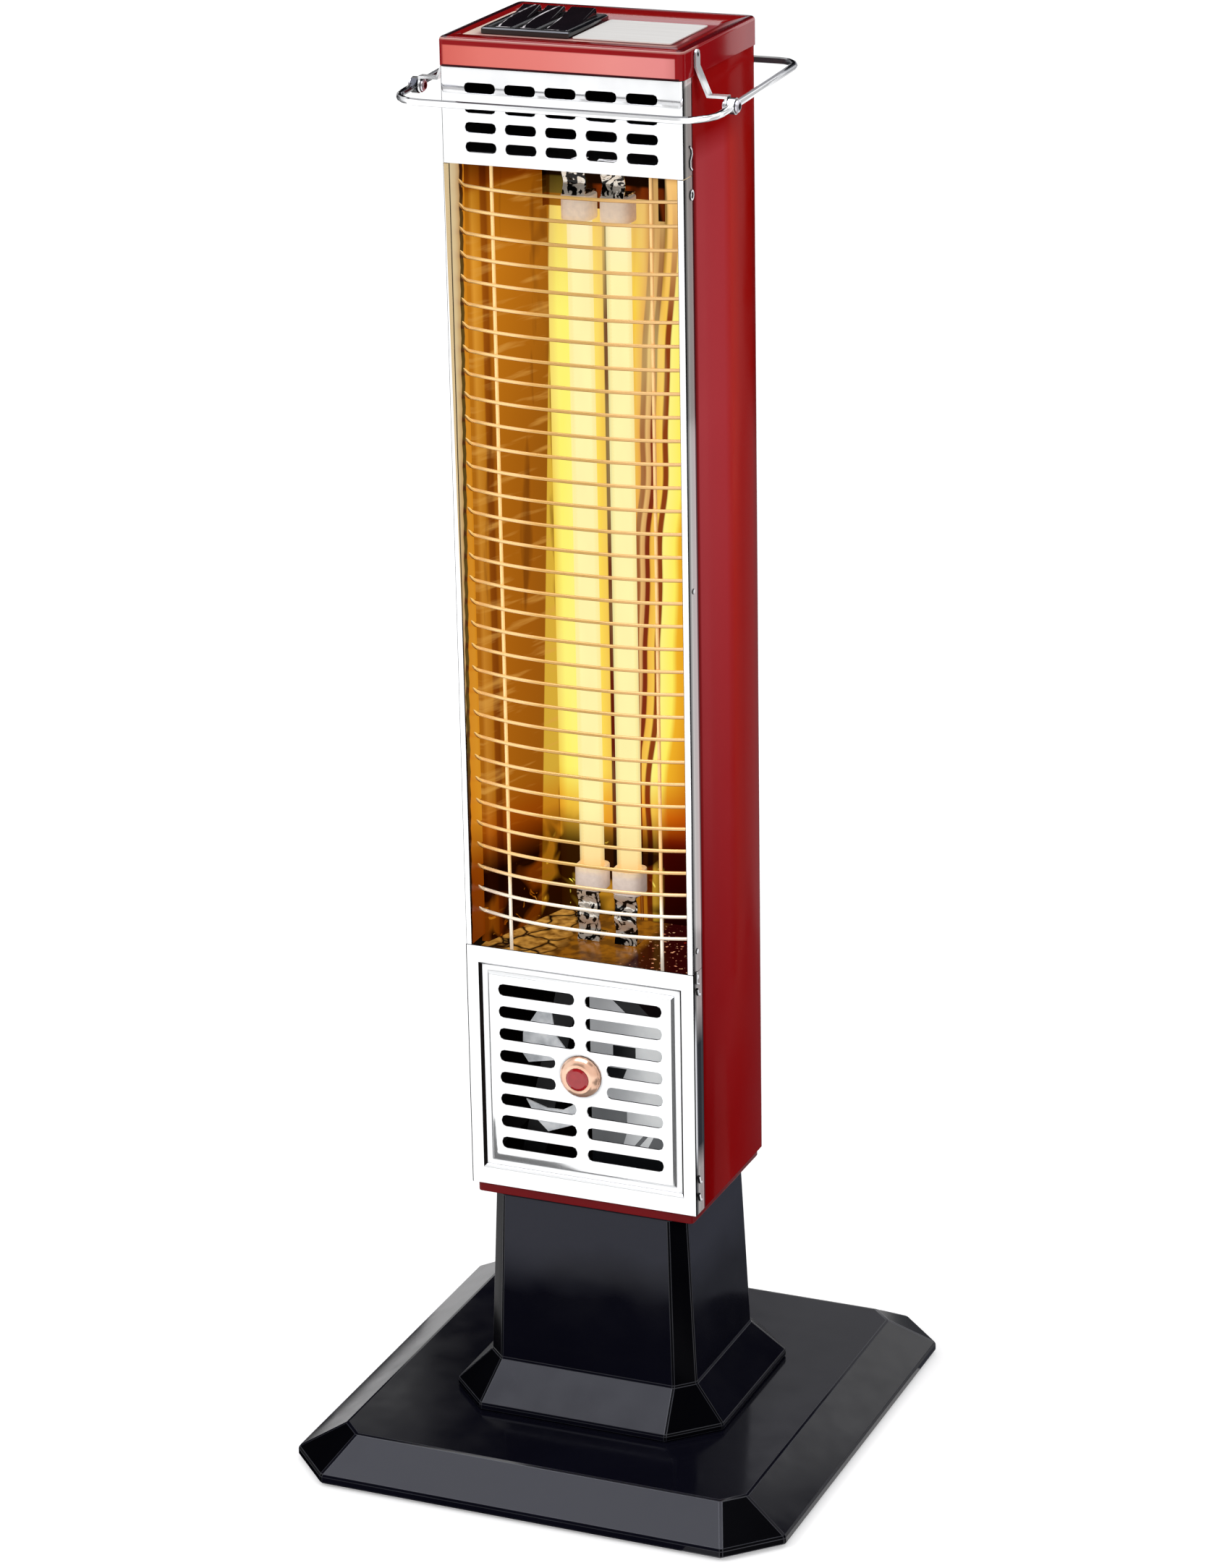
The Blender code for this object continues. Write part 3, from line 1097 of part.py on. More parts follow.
def make_bracket(name, side):
    """A folded strap: a round-topped pad on the cap, a leaning leg, a shelf and a drilled ear."""
    pivot_y, pivot_z = handle_pivot()
    sheet = BRACKET_SHEET
    flush = half_width + CAP_OVERHANG + SEAT
    ear_inner = ear_plane() - sheet
    pad_z = cap_top - BRACKET_TOP_DROP - BRACKET_WIDTH / 2
    fold = cap_top - BRACKET_TOP_DROP - BRACKET_PAD
    shelf = pivot_z + EAR_RADIUS
    strap = flat(((flush, pad_z), (flush, fold), (flush + BRACKET_LEAN, shelf),
                  (ear_inner, shelf), (ear_inner, pivot_z)))
    outline = list(strap) + offset(strap, sheet)[::-1]
    bracket = place("handle_bracket_" + name, prism(
        [(side * point.x, point.y) for point in outline], "Y",
        pivot_y - BRACKET_WIDTH / 2, pivot_y + BRACKET_WIDTH / 2), CHROME)
    rounds, holes = bmesh.new(), bmesh.new()
    for inner, z, radius, hole in (
            (flush, pad_z, BRACKET_WIDTH / 2, BRACKET_HOLE_RADIUS),
            (ear_inner, pivot_z, EAR_RADIUS, RIVET_RADIUS + SEAT / 2)):
        faces = side * (inner + SEAT / 2), side * (inner + sheet - SEAT / 2)
        loft(turned([(radius, face) for face in faces], SMALL_SIDES, "X", (0, pivot_y, z)), rounds)
        ends = side * (inner - OVERRUN), side * (inner + sheet + OVERRUN)
        loft(turned([(hole, end) for end in ends], SMALL_SIDES, "X", (0, pivot_y, z)), holes)
    combine(bracket, place("bracket_rounds_" + name, rounds), "UNION")
    combine(bracket, place("bracket_holes_" + name, holes), "DIFFERENCE")


def make_rivet(name, side):
    """The rivet that holds the handle's eye to the bracket's ear, headed at both ends."""
    inner = ear_plane() - BRACKET_SHEET - SEAT
    outer = HANDLE_HALF_WIDTH + HANDLE_WIRE_RADIUS + RUN
    crown = RIVET_HEAD_RADIUS * RIVET_CROWN_SHARE
    profile = ((crown, inner - RIVET_HEAD), (RIVET_HEAD_RADIUS, inner - RIVET_HEAD / 2),
               (RIVET_HEAD_RADIUS, inner), (RIVET_RADIUS, inner),
               (RIVET_RADIUS, outer), (RIVET_HEAD_RADIUS, outer),
               (RIVET_HEAD_RADIUS, outer + RIVET_HEAD / 2), (crown, outer + RIVET_HEAD))
    rings = turned([(radius, side * along) for radius, along in profile], SMALL_SIDES, "X",
                   (0, *handle_pivot()))
    place("handle_rivet_" + name, loft(rings), BRIGHT_STEEL, smooth=True)


for old in list(bpy.data.objects):
    bpy.data.objects.remove(old, do_unlink=True)

make_base()
make_tip_switch()
make_pedestal()
make_housing()
make_top_louvre()
make_lower_louvre()
make_window()
make_decks()
make_reflector()
make_lamp("left", -LAMP_SPACING / 2)
make_lamp("right", LAMP_SPACING / 2)
make_lower_compartment()
make_cap()
make_switches()
make_handle()
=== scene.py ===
"""Looks of the quartz tower heater: finishes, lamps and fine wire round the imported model.

Metres, +Z up, front towards -Y. Each section dresses one piece or one group of like pieces.
"""

import json
import math

import bmesh
import bpy
import numpy as np
from mathutils import Matrix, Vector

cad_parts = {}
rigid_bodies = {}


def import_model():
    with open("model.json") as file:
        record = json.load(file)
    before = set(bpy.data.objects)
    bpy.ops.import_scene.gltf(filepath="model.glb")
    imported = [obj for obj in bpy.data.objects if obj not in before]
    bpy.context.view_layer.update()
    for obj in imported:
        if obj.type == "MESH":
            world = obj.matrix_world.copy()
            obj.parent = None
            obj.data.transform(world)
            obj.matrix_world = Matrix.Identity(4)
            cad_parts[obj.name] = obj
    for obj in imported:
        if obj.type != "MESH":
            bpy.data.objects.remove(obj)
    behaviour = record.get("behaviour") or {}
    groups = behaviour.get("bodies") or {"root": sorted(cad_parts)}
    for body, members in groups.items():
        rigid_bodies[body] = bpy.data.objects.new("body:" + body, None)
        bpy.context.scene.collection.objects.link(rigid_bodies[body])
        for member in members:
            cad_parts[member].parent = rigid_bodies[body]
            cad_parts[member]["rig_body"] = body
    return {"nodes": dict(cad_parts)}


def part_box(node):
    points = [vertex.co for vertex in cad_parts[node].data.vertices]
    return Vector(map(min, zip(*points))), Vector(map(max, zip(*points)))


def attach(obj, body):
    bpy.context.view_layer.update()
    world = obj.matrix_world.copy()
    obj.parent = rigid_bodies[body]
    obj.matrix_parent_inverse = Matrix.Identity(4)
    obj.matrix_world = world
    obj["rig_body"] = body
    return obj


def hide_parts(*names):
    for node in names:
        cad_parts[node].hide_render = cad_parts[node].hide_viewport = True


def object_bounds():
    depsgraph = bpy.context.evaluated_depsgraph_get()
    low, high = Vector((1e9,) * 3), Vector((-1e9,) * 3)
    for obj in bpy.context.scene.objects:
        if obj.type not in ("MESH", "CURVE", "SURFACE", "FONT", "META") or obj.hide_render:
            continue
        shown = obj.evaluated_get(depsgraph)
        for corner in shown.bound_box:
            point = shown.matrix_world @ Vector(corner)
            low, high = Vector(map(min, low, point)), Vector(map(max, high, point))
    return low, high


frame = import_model()
cad_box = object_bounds()


# Camera
# A long lens stands to the right of the heater and above it, tipped down by 20 degrees.
# Its place, turn and lens put the corners of the base, tower and cap where the photograph has them.
CAMERA_PLACE = (0.99344, -2.33330, 1.30935)
CAMERA_TURN = 0.40188
CAMERA_TIP = -0.34649
CAMERA_ROLL = 0.01833
CAMERA_LENS = 108.67
CAMERA_NEAR = 0.05


def placed(name, data):
    """A new object of the given data, put in the scene."""
    made = bpy.data.objects.new(name, data)
    bpy.context.scene.collection.objects.link(made)
    return made


camera = placed("camera", bpy.data.cameras.new("camera"))
camera.matrix_world = (Matrix.Translation(CAMERA_PLACE) @ Matrix.Rotation(CAMERA_TURN, 4, "Z")
                       @ Matrix.Rotation(CAMERA_TIP, 4, "X") @ Matrix.Rotation(CAMERA_ROLL, 4, "Y")
                       @ Matrix.Rotation(math.radians(90), 4, "X"))
camera.data.lens = CAMERA_LENS
camera.data.clip_start = CAMERA_NEAR
bpy.context.scene.camera = camera
bpy.context.scene.view_settings.view_transform = "Standard"


# Studio
# A white room: a pale floor that keeps the soft shadow, and a sky that lights at a plain level.
# Dark and bright boards stand outside the view and show only in gloss and polished metal.
SKY_LEVEL = 0.86
FLOOR_SIZE = 12.0
FLOOR_GAP = 0.0004
PAPER_GLOW = 0.30
KEY_PLACE = (-1.6, -1.9, 2.4)
KEY_SIZE = 1.4
KEY_POWER = 26.0
FILL_PLACE = (1.9, -1.2, 1.7)
FILL_POWER = 9.0


def linear(hex_colour):
    """Turn an sRGB hex colour into linear red, green, blue and a full alpha."""
    parts = [int(hex_colour[i:i + 2], 16) / 255 for i in (1, 3, 5)]
    return (*(p / 12.92 if p <= 0.04045 else ((p + 0.055) / 1.055) ** 2.4 for p in parts), 1.0)


def fill(socket, value):
    """Set a socket to a number, a vector or a hex colour, or link it to a socket or a node."""
    if isinstance(value, bpy.types.Node):
        value = next(output for output in value.outputs if output.enabled)
    if isinstance(value, bpy.types.NodeSocket):
        socket.id_data.links.new(value, socket)
    else:
        socket.default_value = linear(value) if isinstance(value, str) else value


def add(tree, kind, *values, **named):
    """Put a node in a tree with its settings and links. Its kind may be followed by its operation
    or blend. Plain values fill its sockets in order. A named one fills the socket of that name,
    where an underscore is a space, or sets a property where the name has no capital. Mix blends
    colours unless it is told otherwise."""
    kind, _, operation = kind.partition(" ")
    made = tree.nodes.new("ShaderNode" + kind)
    if kind == "Mix":
        made.data_type = "RGBA"
    if operation:
        setattr(made, "blend_type" if kind == "Mix" else "operation", operation)
    for name in filter(str.islower, named):
        setattr(made, name, named[name])
    for socket, value in zip([socket for socket in made.inputs if socket.enabled], values):
        fill(socket, value)
    for name, value in named.items():
        if not name.islower():
            fill(made.inputs[name.replace("_", " ")], value)
    return made


def seen_directly(tree):
    """Light Path's camera, glossy and transmission rays together, as 0 or 1."""
    path = add(tree, "LightPath").outputs
    shiny = add(tree, "Math ADD", path["Is Camera Ray"], path["Is Glossy Ray"], use_clamp=True)
    return add(tree, "Math ADD", shiny, path["Is Transmission Ray"], use_clamp=True)


sky = bpy.data.worlds.new("white_room")
sky.use_nodes = True
bpy.context.scene.world = sky
background = sky.node_tree.nodes["Background"]
fill(background.inputs["Color"], "#FFFFFF")
fill(background.inputs["Strength"], add(sky.node_tree, "Mix", seen_directly(sky.node_tree),
                                        SKY_LEVEL, 1.0, data_type="FLOAT"))


def staged_sheet(name, corner, across, up):
    """A flat staged rectangle: corner + u * across + v * up."""
    u, v = np.meshgrid([0.0, 1.0], [0.0, 1.0])
    points = (np.array(corner) + u[..., None] * np.array(across)
              + v[..., None] * np.array(up)).reshape(-1, 3)
    mesh = bpy.data.meshes.new(name)
    mesh.from_pydata(points.tolist(), [], [(0, 1, 3, 2)])
    made = placed(name, mesh)
    return made


def glowing(name):
    """A new material with an empty tree, for something that gives off light."""
    made = bpy.data.materials.new(name)
    made.use_nodes = True
    made.node_tree.nodes.clear()
    return made, made.node_tree


def board(name, corner, across, up, tone, edge_tone=None, strength=1.0):
    """A staged rectangle that gives off light, its tone running from edge to edge."""
    made = staged_sheet(name, corner, across, up)
    uv = made.data.uv_layers.new(name="across")
    uv.data.foreach_set("uv", np.array([[0, 0], [1, 0], [1, 1], [0, 1]], float).ravel())
    paint, tree = glowing(name)
    split = add(tree, "SeparateXYZ", add(tree, "UVMap", uv_map="across"))
    blend = add(tree, "Mix", split, tone, edge_tone or tone)
    add(tree, "OutputMaterial", add(tree, "Emission", blend, strength))
    made.data.materials.append(paint)
    made.visible_camera = False
    made.visible_diffuse = False
    made.visible_transmission = False
    made.visible_shadow = False


board("dark_board_behind", (-1.05, 1.9, 0.3), (0.21, 0, 0), (0, 0, 0.95), "#0A0B10")
board("fading_board_behind", (-0.84, 1.9, 0.3), (0.2, 0, 0), (0, 0, 0.95), "#0A0B10", "#F0F0F6")
board("pale_board_behind", (-0.64, 1.9, 0.3), (1.09, 0, 0), (0, 0, 0.95), "#F0F0F6")
board("bright_board_behind", (0.45, 1.9, 0.6), (0.29, 0, 0), (0, 0, 0.7), "#FFFFFF", strength=2.2)
board("dark_board_high_behind", (-2.0, 1.9, 1.25), (3.4, 0.3, 0), (0, 0, 1.3), "#0A0B10", "#2E2F38")
board("dark_board_in_front", (-2.6, -3.0, 0.25), (2.9, 0, 0), (0, 0, 2.4), "#101014")
board("dark_board_over_right", (0.65, -0.7, 2.2), (1.4, 0, 0), (0, 1.3, 0), "#0A0B10")
board("dark_board_right_behind", (0.75, 1.9, 0.25), (0.8, 0, 0), (0, 0, 0.8), "#0A0B10")
board("dark_board_far_right", (0.74, 2.03, 0.003), (1.16, 0, 0), (0, 1.4, 0), "#26262A")
board("dark_board_far_left", (-2.0, 0.3, 0.25), (0, 1.1, 0), (0, 0, 1.1), "#0A0B10")
board("grey_board_at_right", (0.2, 0.4, 0.002), (1.4, 0, 0), (0, 2.0, 0), "#D8D8DC", "#A8A8AE")
board("grey_board_by_base", (0.10, 0.10, 0.003), (0.5, 0, 0), (0, 0.62, 0), "#70727A")
board("bright_board_in_front", (-1.9, -2.9, 0.01), (2.2, 0, 0), (0, 1.5, 0), "#FFFFFF",
      strength=1.2)
board("bright_board_overhead", (-1.4, -0.9, 2.2), (2.0, 0, 0), (0, 1.4, 0), "#D6D8E4", strength=8.0)
board("bright_board_high_behind", (-1.3, 0.75, 2.3), (1.2, 0, 0), (0, 0.8, 0.1), "#FFFFFF",
      strength=6.0)
board("dark_board_round_base", (-0.20, -0.28, 0.001), (0.30, 0, 0), (0, 0.38, 0), "#08080C")
board("dark_board_right_of_base", (0.25, -0.50, 0.001), (0.8, 0, 0), (0, 0.42, 0), "#08080C")
board("dark_board_at_left", (-0.55, -0.05, 0), (0, 0.6, 0), (0, 0, 0.85), "#0C0C10")
board("dark_board_at_right", (0.65, -0.08, 0), (0, 0.46, 0), (0, 0, 0.9), "#0C0C10")

floor = staged_sheet("floor", (-FLOOR_SIZE, -FLOOR_SIZE, -FLOOR_GAP), (2 * FLOOR_SIZE, 0, 0),
                     (0, 2 * FLOOR_SIZE, 0))
paper, tree = glowing("white_paper_sweep")
paper_lit = add(tree, "BsdfDiffuse", "#F4F4F5")
paper_seen = add(tree, "AddShader", paper_lit, add(tree, "Emission", "#FFFFFF", PAPER_GLOW))
add(tree, "OutputMaterial", add(tree, "MixShader", seen_directly(tree), paper_lit, paper_seen))
floor.data.materials.append(paper)


def soft_lamp(name, place, power, size):
    """A square studio lamp aimed at the middle of the tower."""
    made = placed(name, bpy.data.lights.new(name, "AREA"))
    made.data.energy = power
    made.data.size = size
    made.location = place
    middle = (cad_box[0] + cad_box[1]) / 2
    made.rotation_mode = "QUATERNION"
    made.rotation_quaternion = (middle - made.location).to_track_quat("-Z", "Y")
    made.visible_glossy = False


soft_lamp("key_lamp", KEY_PLACE, KEY_POWER, KEY_SIZE)
soft_lamp("fill_lamp", FILL_PLACE, FILL_POWER, KEY_SIZE)


# Base and pedestal
# The cover and the column are injection-moulded black ABS, polished in the tool and slightly
# wavy from shrinkage. The cover clips over a zinc-plated plate; the column screws to the cover.
MOULD_WAVE = 0.035
MOULD_WAVE_HEIGHT = 0.00006
MOULD_EDGE = 0.00025
MOULD_CRISP = math.radians(8)
SMOOTH_ANGLE = math.radians(32)
MERGE = 0.000002
FLAT_WITHIN = math.radians(0.4)
FLOOR_LIKE = 0.9
CORNER_LIKE = 0.1


def principled(name, **sockets):
    """A new material with one Principled shader; an underscore in a socket's name is a space."""
    made = bpy.data.materials.new(name)
    made.use_nodes = True
    shader = made.node_tree.nodes["Principled BSDF"]
    for socket, value in sockets.items():
        fill(shader.inputs[socket.replace("_", " ")], value)
    return made, made.node_tree, shader


def feed(shader, value, *names):
    """Link or set the named sockets of a shader, or its Base Color where none is named."""
    for name in names or ("Base Color",):
        fill(shader.inputs[name], value)


def grain(tree, size, detail=2.0, stretch=(1, 1, 1), distortion=0.0, span=None):
    """Noise on Object coordinates whose grain is about the given size in metres. A span maps its
    first pair of grey values onto its second pair, or onto 0 and 1."""
    where = add(tree, "Mapping", add(tree, "TexCoord").outputs["Object"], Scale=stretch)
    made = add(tree, "TexNoise", where, Scale=1 / size, Detail=detail, Distortion=distortion)
    return add(tree, "MapRange", made, *span) if span else made


def ripple(shader, size, height, detail=2.0):
    """Give the shader a bump whose waves have the given size and height in metres."""
    tree = shader.id_data
    feed(shader, add(tree, "Bump", Height=grain(tree, size, detail), Distance=height), "Normal")


def mottled(name, size, low, high, detail=2.0, waves=None, **sockets):
    """A new material whose colour wanders between two, with a bump where its waves are given."""
    made, tree, shader = principled(name, **sockets)
    feed(shader, add(tree, "Mix", grain(tree, size, detail), low, high))
    if waves:
        ripple(shader, *waves)
    return made


def place(tree, kind="TexCoord", output="Object"):
    """The three Object coordinates of the point, or the parts of another vector, as outputs."""
    return add(tree, "SeparateXYZ", add(tree, kind).outputs[output]).outputs


def dress(finish, *nodes):
    """Put a finish on CAD nodes."""
    for name in nodes:
        for slot in frame["nodes"][name].material_slots:
            slot.material = finish


def recast(name, piece, finish, edge=0.0, crisp=SMOOTH_ANGLE, edge_finish=None, inner_finish=None,
           corner_finish=None):
    """A merged, smoothly shaded copy of a CAD node that stands for it, with its edges eased.
    An edge finish goes on the eased edges. An inner finish goes on the faces that look towards the
    tower's upright middle line, where the level part of centre . normal is below zero, and on
    floors inside it. A corner finish goes on the faces that cut across a corner, where the product
    of the normal's two level parts is well off zero."""
    node = frame["nodes"][name]
    shape = bmesh.new()
    shape.from_mesh(node.data)
    bmesh.ops.remove_doubles(shape, verts=shape.verts, dist=MERGE)
    bmesh.ops.dissolve_limit(shape, angle_limit=FLAT_WITHIN, verts=shape.verts, edges=shape.edges)
    mesh = bpy.data.meshes.new(piece)
    shape.to_mesh(mesh)
    shape.free()
    mesh.shade_smooth()
    mesh.set_sharp_from_angle(angle=crisp)
    mesh.materials.append(finish)
    centres, normals = np.empty(len(mesh.polygons) * 3), np.empty(len(mesh.polygons) * 3)
    mesh.polygons.foreach_get("center", centres)
    mesh.polygons.foreach_get("normal", normals)
    if inner_finish:
        mesh.materials.append(inner_finish)
        inwards = (centres * normals).reshape(-1, 3)[:, :2].sum(1) < 0
        inwards |= normals[2::3] > FLOOR_LIKE
        mesh.polygons.foreach_set("material_index", inwards.astype(np.int32))
    if corner_finish:
        mesh.materials.append(corner_finish)
        across = np.abs(normals[0::3] * normals[1::3]) > CORNER_LIKE
        mesh.polygons.foreach_set("material_index", across.astype(np.int32))
    if edge_finish:
        mesh.materials.append(edge_finish)
    made = placed(piece, mesh)
    if edge:
        ease = made.modifiers.new("eased_edges", "BEVEL")
        ease.width = edge
        ease.segments = 2
        ease.limit_method = "ANGLE"
        ease.angle_limit = crisp
        ease.harden_normals = True
        if edge_finish:
            ease.material = len(mesh.materials) - 1
    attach(made, node["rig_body"])
    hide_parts(name)


abs_black, tree, shader = principled("abs_moulded_gloss_black", Roughness=0.2,
                                     Specular_IOR_Level=0.15)
# The upper column is painted lighter, towards #262730, as a painted sheen.
sheen_height_painted = add(tree, "Math ADD", place(tree)[2], grain(tree, 0.06, span=(0.3, 0.7, -0.012, 0.012)))
plain = add(tree, "Mix", add(tree, "MapRange", sheen_height_painted, 0.090, 0.128),
            add(tree, "Mix", grain(tree, 0.08), "#07070E", "#0D0D17"), "#262730")
feed(shader, plain)
feed(shader, grain(tree, 0.02, span=(0.3, 0.7, 0.10, 0.17)), "Roughness")
ripple(shader, MOULD_WAVE, MOULD_WAVE_HEIGHT, 1.0)
# The faces that cut across corners are painted near black as painted shade.
abs_corner_painted_shade = mottled("abs_moulded_black_corner_painted_shade", 0.03, "#020204", "#060609",
                     waves=(MOULD_WAVE, MOULD_WAVE_HEIGHT, 1.0), Roughness=0.2,
                     Specular_IOR_Level=0.02)
# The eased edges are painted lighter grey as thin painted highlights.
abs_edge_painted_highlight = mottled("abs_moulded_edge_painted_highlight", 0.02, "#0E0F13", "#2C2D35", 3.0, Roughness=0.3,
                   Specular_IOR_Level=0.3)
for part, moulding in (("base_cover", "base_moulding"), ("pedestal", "column_moulding")):
    recast(part, moulding, abs_black, MOULD_EDGE, MOULD_CRISP, abs_edge_painted_highlight, corner_finish=abs_corner_painted_shade)

zinc, tree, shader = principled("mild_steel_zinc_plated", Metallic=1.0, Roughness=0.35)
feed(shader, add(tree, "Mix", grain(tree, 0.006, 3.0), "#8E9093", "#B4B6B8"))
feed(shader, grain(tree, 0.003, 3.0, span=(0.3, 0.7, 0.25, 0.48)), "Roughness")
ripple(shader, 0.0012, 0.00002, 3.0)
dress(zinc, "base_plate", "clamp_plate")

rubber = mottled("rubber_moulded_matt", 0.002, "#101011", "#1C1C1E", 3.0,
                 waves=(0.0006, 0.00005), Roughness=0.85, Specular_IOR_Level=0.3)
for foot in ("foot_front_left", "foot_front_right", "foot_rear_left", "foot_rear_right"):
    recast(foot, foot.replace("foot", "rubber_foot"), rubber)
recast("cord_inlet", "inlet_grommet", rubber)

bakelite = mottled("phenolic_moulded_brown", 0.004, "#1A110C", "#35241A", 4.0,
                   waves=(0.0008, 0.00003), Roughness=0.45)
dress(bakelite, "tip_switch_body", "terminal_block", "thermal_cutout")
dress(rubber, "tip_switch_plunger")


# Tower box, pan and cap
# Deep-drawn and folded sheet steel, stove-enamelled a deep red with a thick glossy coat.
# The coat has a fine orange-peel ripple; inside, a thin dull primer is painted near black as shade.
PEEL = 0.0035
PEEL_HEIGHT = 0.000012
CAP_PEEL_HEIGHT = 0.000006
CAP_RIM_LOW = 0.8275
CAP_RIM_REAR = 0.050
CAP_SEAM = 0.8133
PAN_EDGE = 0.0005


def banded(tree, measure, stops):
    """Colours along a measure, running evenly from stop to stop. The stops are pairs of a
    thousandth of the measure's unit, so millimetres for a place, and a hex colour."""
    first, last = stops[0][0], stops[-1][0]
    made = add(tree, "ValToRGB", add(tree, "MapRange", measure, first * 0.001, last * 0.001))
    ramp = made.color_ramp
    while len(ramp.elements) < len(stops):
        ramp.elements.new(1.0)
    for element, (at, colour) in zip(ramp.elements, stops):
        element.position = (at - first) / (last - first)
        element.color = linear(colour)
    return made


red_enamel, tree, shader = principled("steel_stove_enamelled_red", Roughness=0.16,
                                      Specular_IOR_Level=0.06)
x, y, z = place(tree)
# The side's red carries painted light and shade: darker low down and at the front and rear edges as
# painted shade, a lighter painted sheen higher up towards the front, and even red near the top.
low_red_painted_shade = banded(tree, y, (
    (-52, "#600003"), (-36, "#740204"), (0, "#820506"), (48, "#7C0305"), (54, "#680204")))
high_red_painted_light = banded(tree, y, (
    (-52, "#58040A"), (-38.5, "#64060C"), (-36.5, "#84181C"), (-34.5, "#AC3A40"), (4, "#AA343A"),
    (16, "#A82018"), (28, "#960C06"), (44, "#8C0400"), (54, "#520000")))
side_red = add(tree, "Mix", add(tree, "MapRange", z, 0.20, 0.62), low_red_painted_shade, high_red_painted_light)
side_red = add(tree, "Mix", add(tree, "MapRange", z, 0.765, 0.78), side_red, "#8E0A0A")
mottle = grain(tree, 0.12, span=(0.3, 0.7, 0.0, 0.18))
feed(shader, add(tree, "Mix", mottle, side_red, "#840A10"))
feed(shader, grain(tree, 0.03, span=(0.3, 0.7, 0.12, 0.22)), "Roughness")
ripple(shader, PEEL, PEEL_HEIGHT)
# Inside faces and inner floors are painted near black as painted shade.
primer_and_painted_shade = mottled("steel_inside_near_black_painted_shade", 0.01, "#050403", "#120807", 3.0, Roughness=0.7,
                 Specular_IOR_Level=0.1)
recast("tower_housing", "red_tower_box", red_enamel, inner_finish=primer_and_painted_shade)
# The pan is the same red enamel, painted darker as painted shade.
shaded_enamel = mottled("steel_enamelled_red_painted_shade", 0.03, "#58060A", "#740A10",
                        Roughness=0.3, Specular_IOR_Level=0.1)
recast("bottom_pan", "red_bottom_pan", shaded_enamel, PAN_EDGE, inner_finish=primer_and_painted_shade)

cap_enamel_painted_light, tree, shader = principled("steel_stove_enamelled_red_painted_light", Roughness=0.12,
                                      Specular_IOR_Level=0.12)
x, y, z = place(tree)
aim = place(tree, "NewGeometry", "Normal")
# The cap carries painted light: a pink painted reflection on the front with darker ends, a dark
# painted shadow line along the front's lower edge, painted shade on the rim ends and rear, and pale
# painted highlights on the tray floor.
thick = add(tree, "Mix", grain(tree, 0.08, span=(0.3, 0.7)), "#860A10", "#9A1016")
front_painted_reflection = banded(tree, x, (
    (-71, "#7A0408"), (-68.8, "#7A0408"), (-68.3, "#CE6056"), (-45, "#DA7268"), (-10, "#DE7A72"),
    (30, "#E28A84"), (60, "#DE8684"), (66, "#D07A78"), (66.4, "#8E1216"), (71, "#8E1216")))
front_reflection_band = banded(tree, z, (
    (813.2, "#000000"), (813.6, "#FFFFFF"), (823.6, "#FFFFFF"), (824.2, "#000000"),
    (828, "#000000")))
on_front_reflection = add(tree, "Math MULTIPLY", add(tree, "MapRange", aim[1], -0.995, -0.93, 1.0, 0.0),
               front_reflection_band)
painted_shadow_line = add(tree, "Math MULTIPLY", add(tree, "Math LESS_THAN", z, CAP_SEAM),
                 add(tree, "Math LESS_THAN", aim[1], -0.9))
front_painted_light = add(tree, "Mix", painted_shadow_line, add(tree, "Mix", on_front_reflection, thick, front_painted_reflection),
                 "#30020A")
rim_painted_shade = banded(tree, x, (
    (-71, "#2A0A12"), (-66, "#2A0A12"), (-65, "#8A0808"), (66, "#8A0808"), (67, "#56040A"),
    (71, "#56040A")))
rim_painted_shade = add(tree, "Mix", add(tree, "Math GREATER_THAN", y, CAP_RIM_REAR), rim_painted_shade, "#2A0608")
tray_painted_highlights = banded(tree, y, (
    (-54, "#F4D2C8"), (-36, "#F0C4BA"), (-30, "#A84A4C"), (34, "#8A3038"), (54, "#9A3A40")))
tray_painted_highlights = add(tree, "Mix", add(tree, "MapRange", x, -0.059, -0.054, 1.0, 0.0), tray_painted_highlights, "#F4D8CA")
tray_painted_highlights = add(tree, "Mix", add(tree, "Math GREATER_THAN", z, CAP_RIM_LOW), tray_painted_highlights, rim_painted_shade)
feed(shader, add(tree, "Mix", add(tree, "MapRange", aim[2], 0.3, 0.95), front_painted_light, tray_painted_highlights))
ripple(shader, PEEL, CAP_PEEL_HEIGHT)
recast("top_cap", "red_cap", cap_enamel_painted_light)


# Bright front panels and stiles
# Pressed mild steel, nickelled and chromed on the show side. It mirrors the white room, so it
# looks nearly white; its grey and black in folds and crevices are painted shade.
CREVICE = 0.0035
SIDE_PLANE = 0.0698
RIM_LINE = 0.0004
WINDOW_SIDE = 0.0661
WINDOW_MIDDLE = (0.5329, 0.2265)
GLOW_SIDE = 0.0656
GLOW_WIDTH = 0.0036
GLOW_SPAN = (0.42, 0.76)
NOTCH_PITCH = 0.0132
NOTCH_DEPTH = 0.0010
JAMB_TOP = 0.76
JAMB_TAPER = 0.036
SHEET_EDGE = 0.0002


def lit_sheet(name, roughness=0.3):
    """A dark polished metal whose colour is the light that the lamps leave on it."""
    return principled(name, Base_Color="#120A04", Metallic=1.0, Roughness=roughness,
                      Emission_Strength=1.0)


def crevices(tree, distance):
    """Grey value that falls from 1 in the open to 0 in grooves and corners, for painting shade
    there.
    """
    closed = add(tree, "AmbientOcclusion", Distance=distance, samples=8)
    return add(tree, "MapRange", closed.outputs["AO"], 0.48, 0.90)


bright_sheet, tree, shader = principled("steel_sheet_chrome_plated", Metallic=0.8, Roughness=0.08,
                                        Emission_Strength=0.5)
x, y, z = place(tree)
# Grooves and corners are painted dark as painted shade.
plated = add(tree, "Mix", crevices(tree, CREVICE), "#1A1B20", "#F6F7F8")
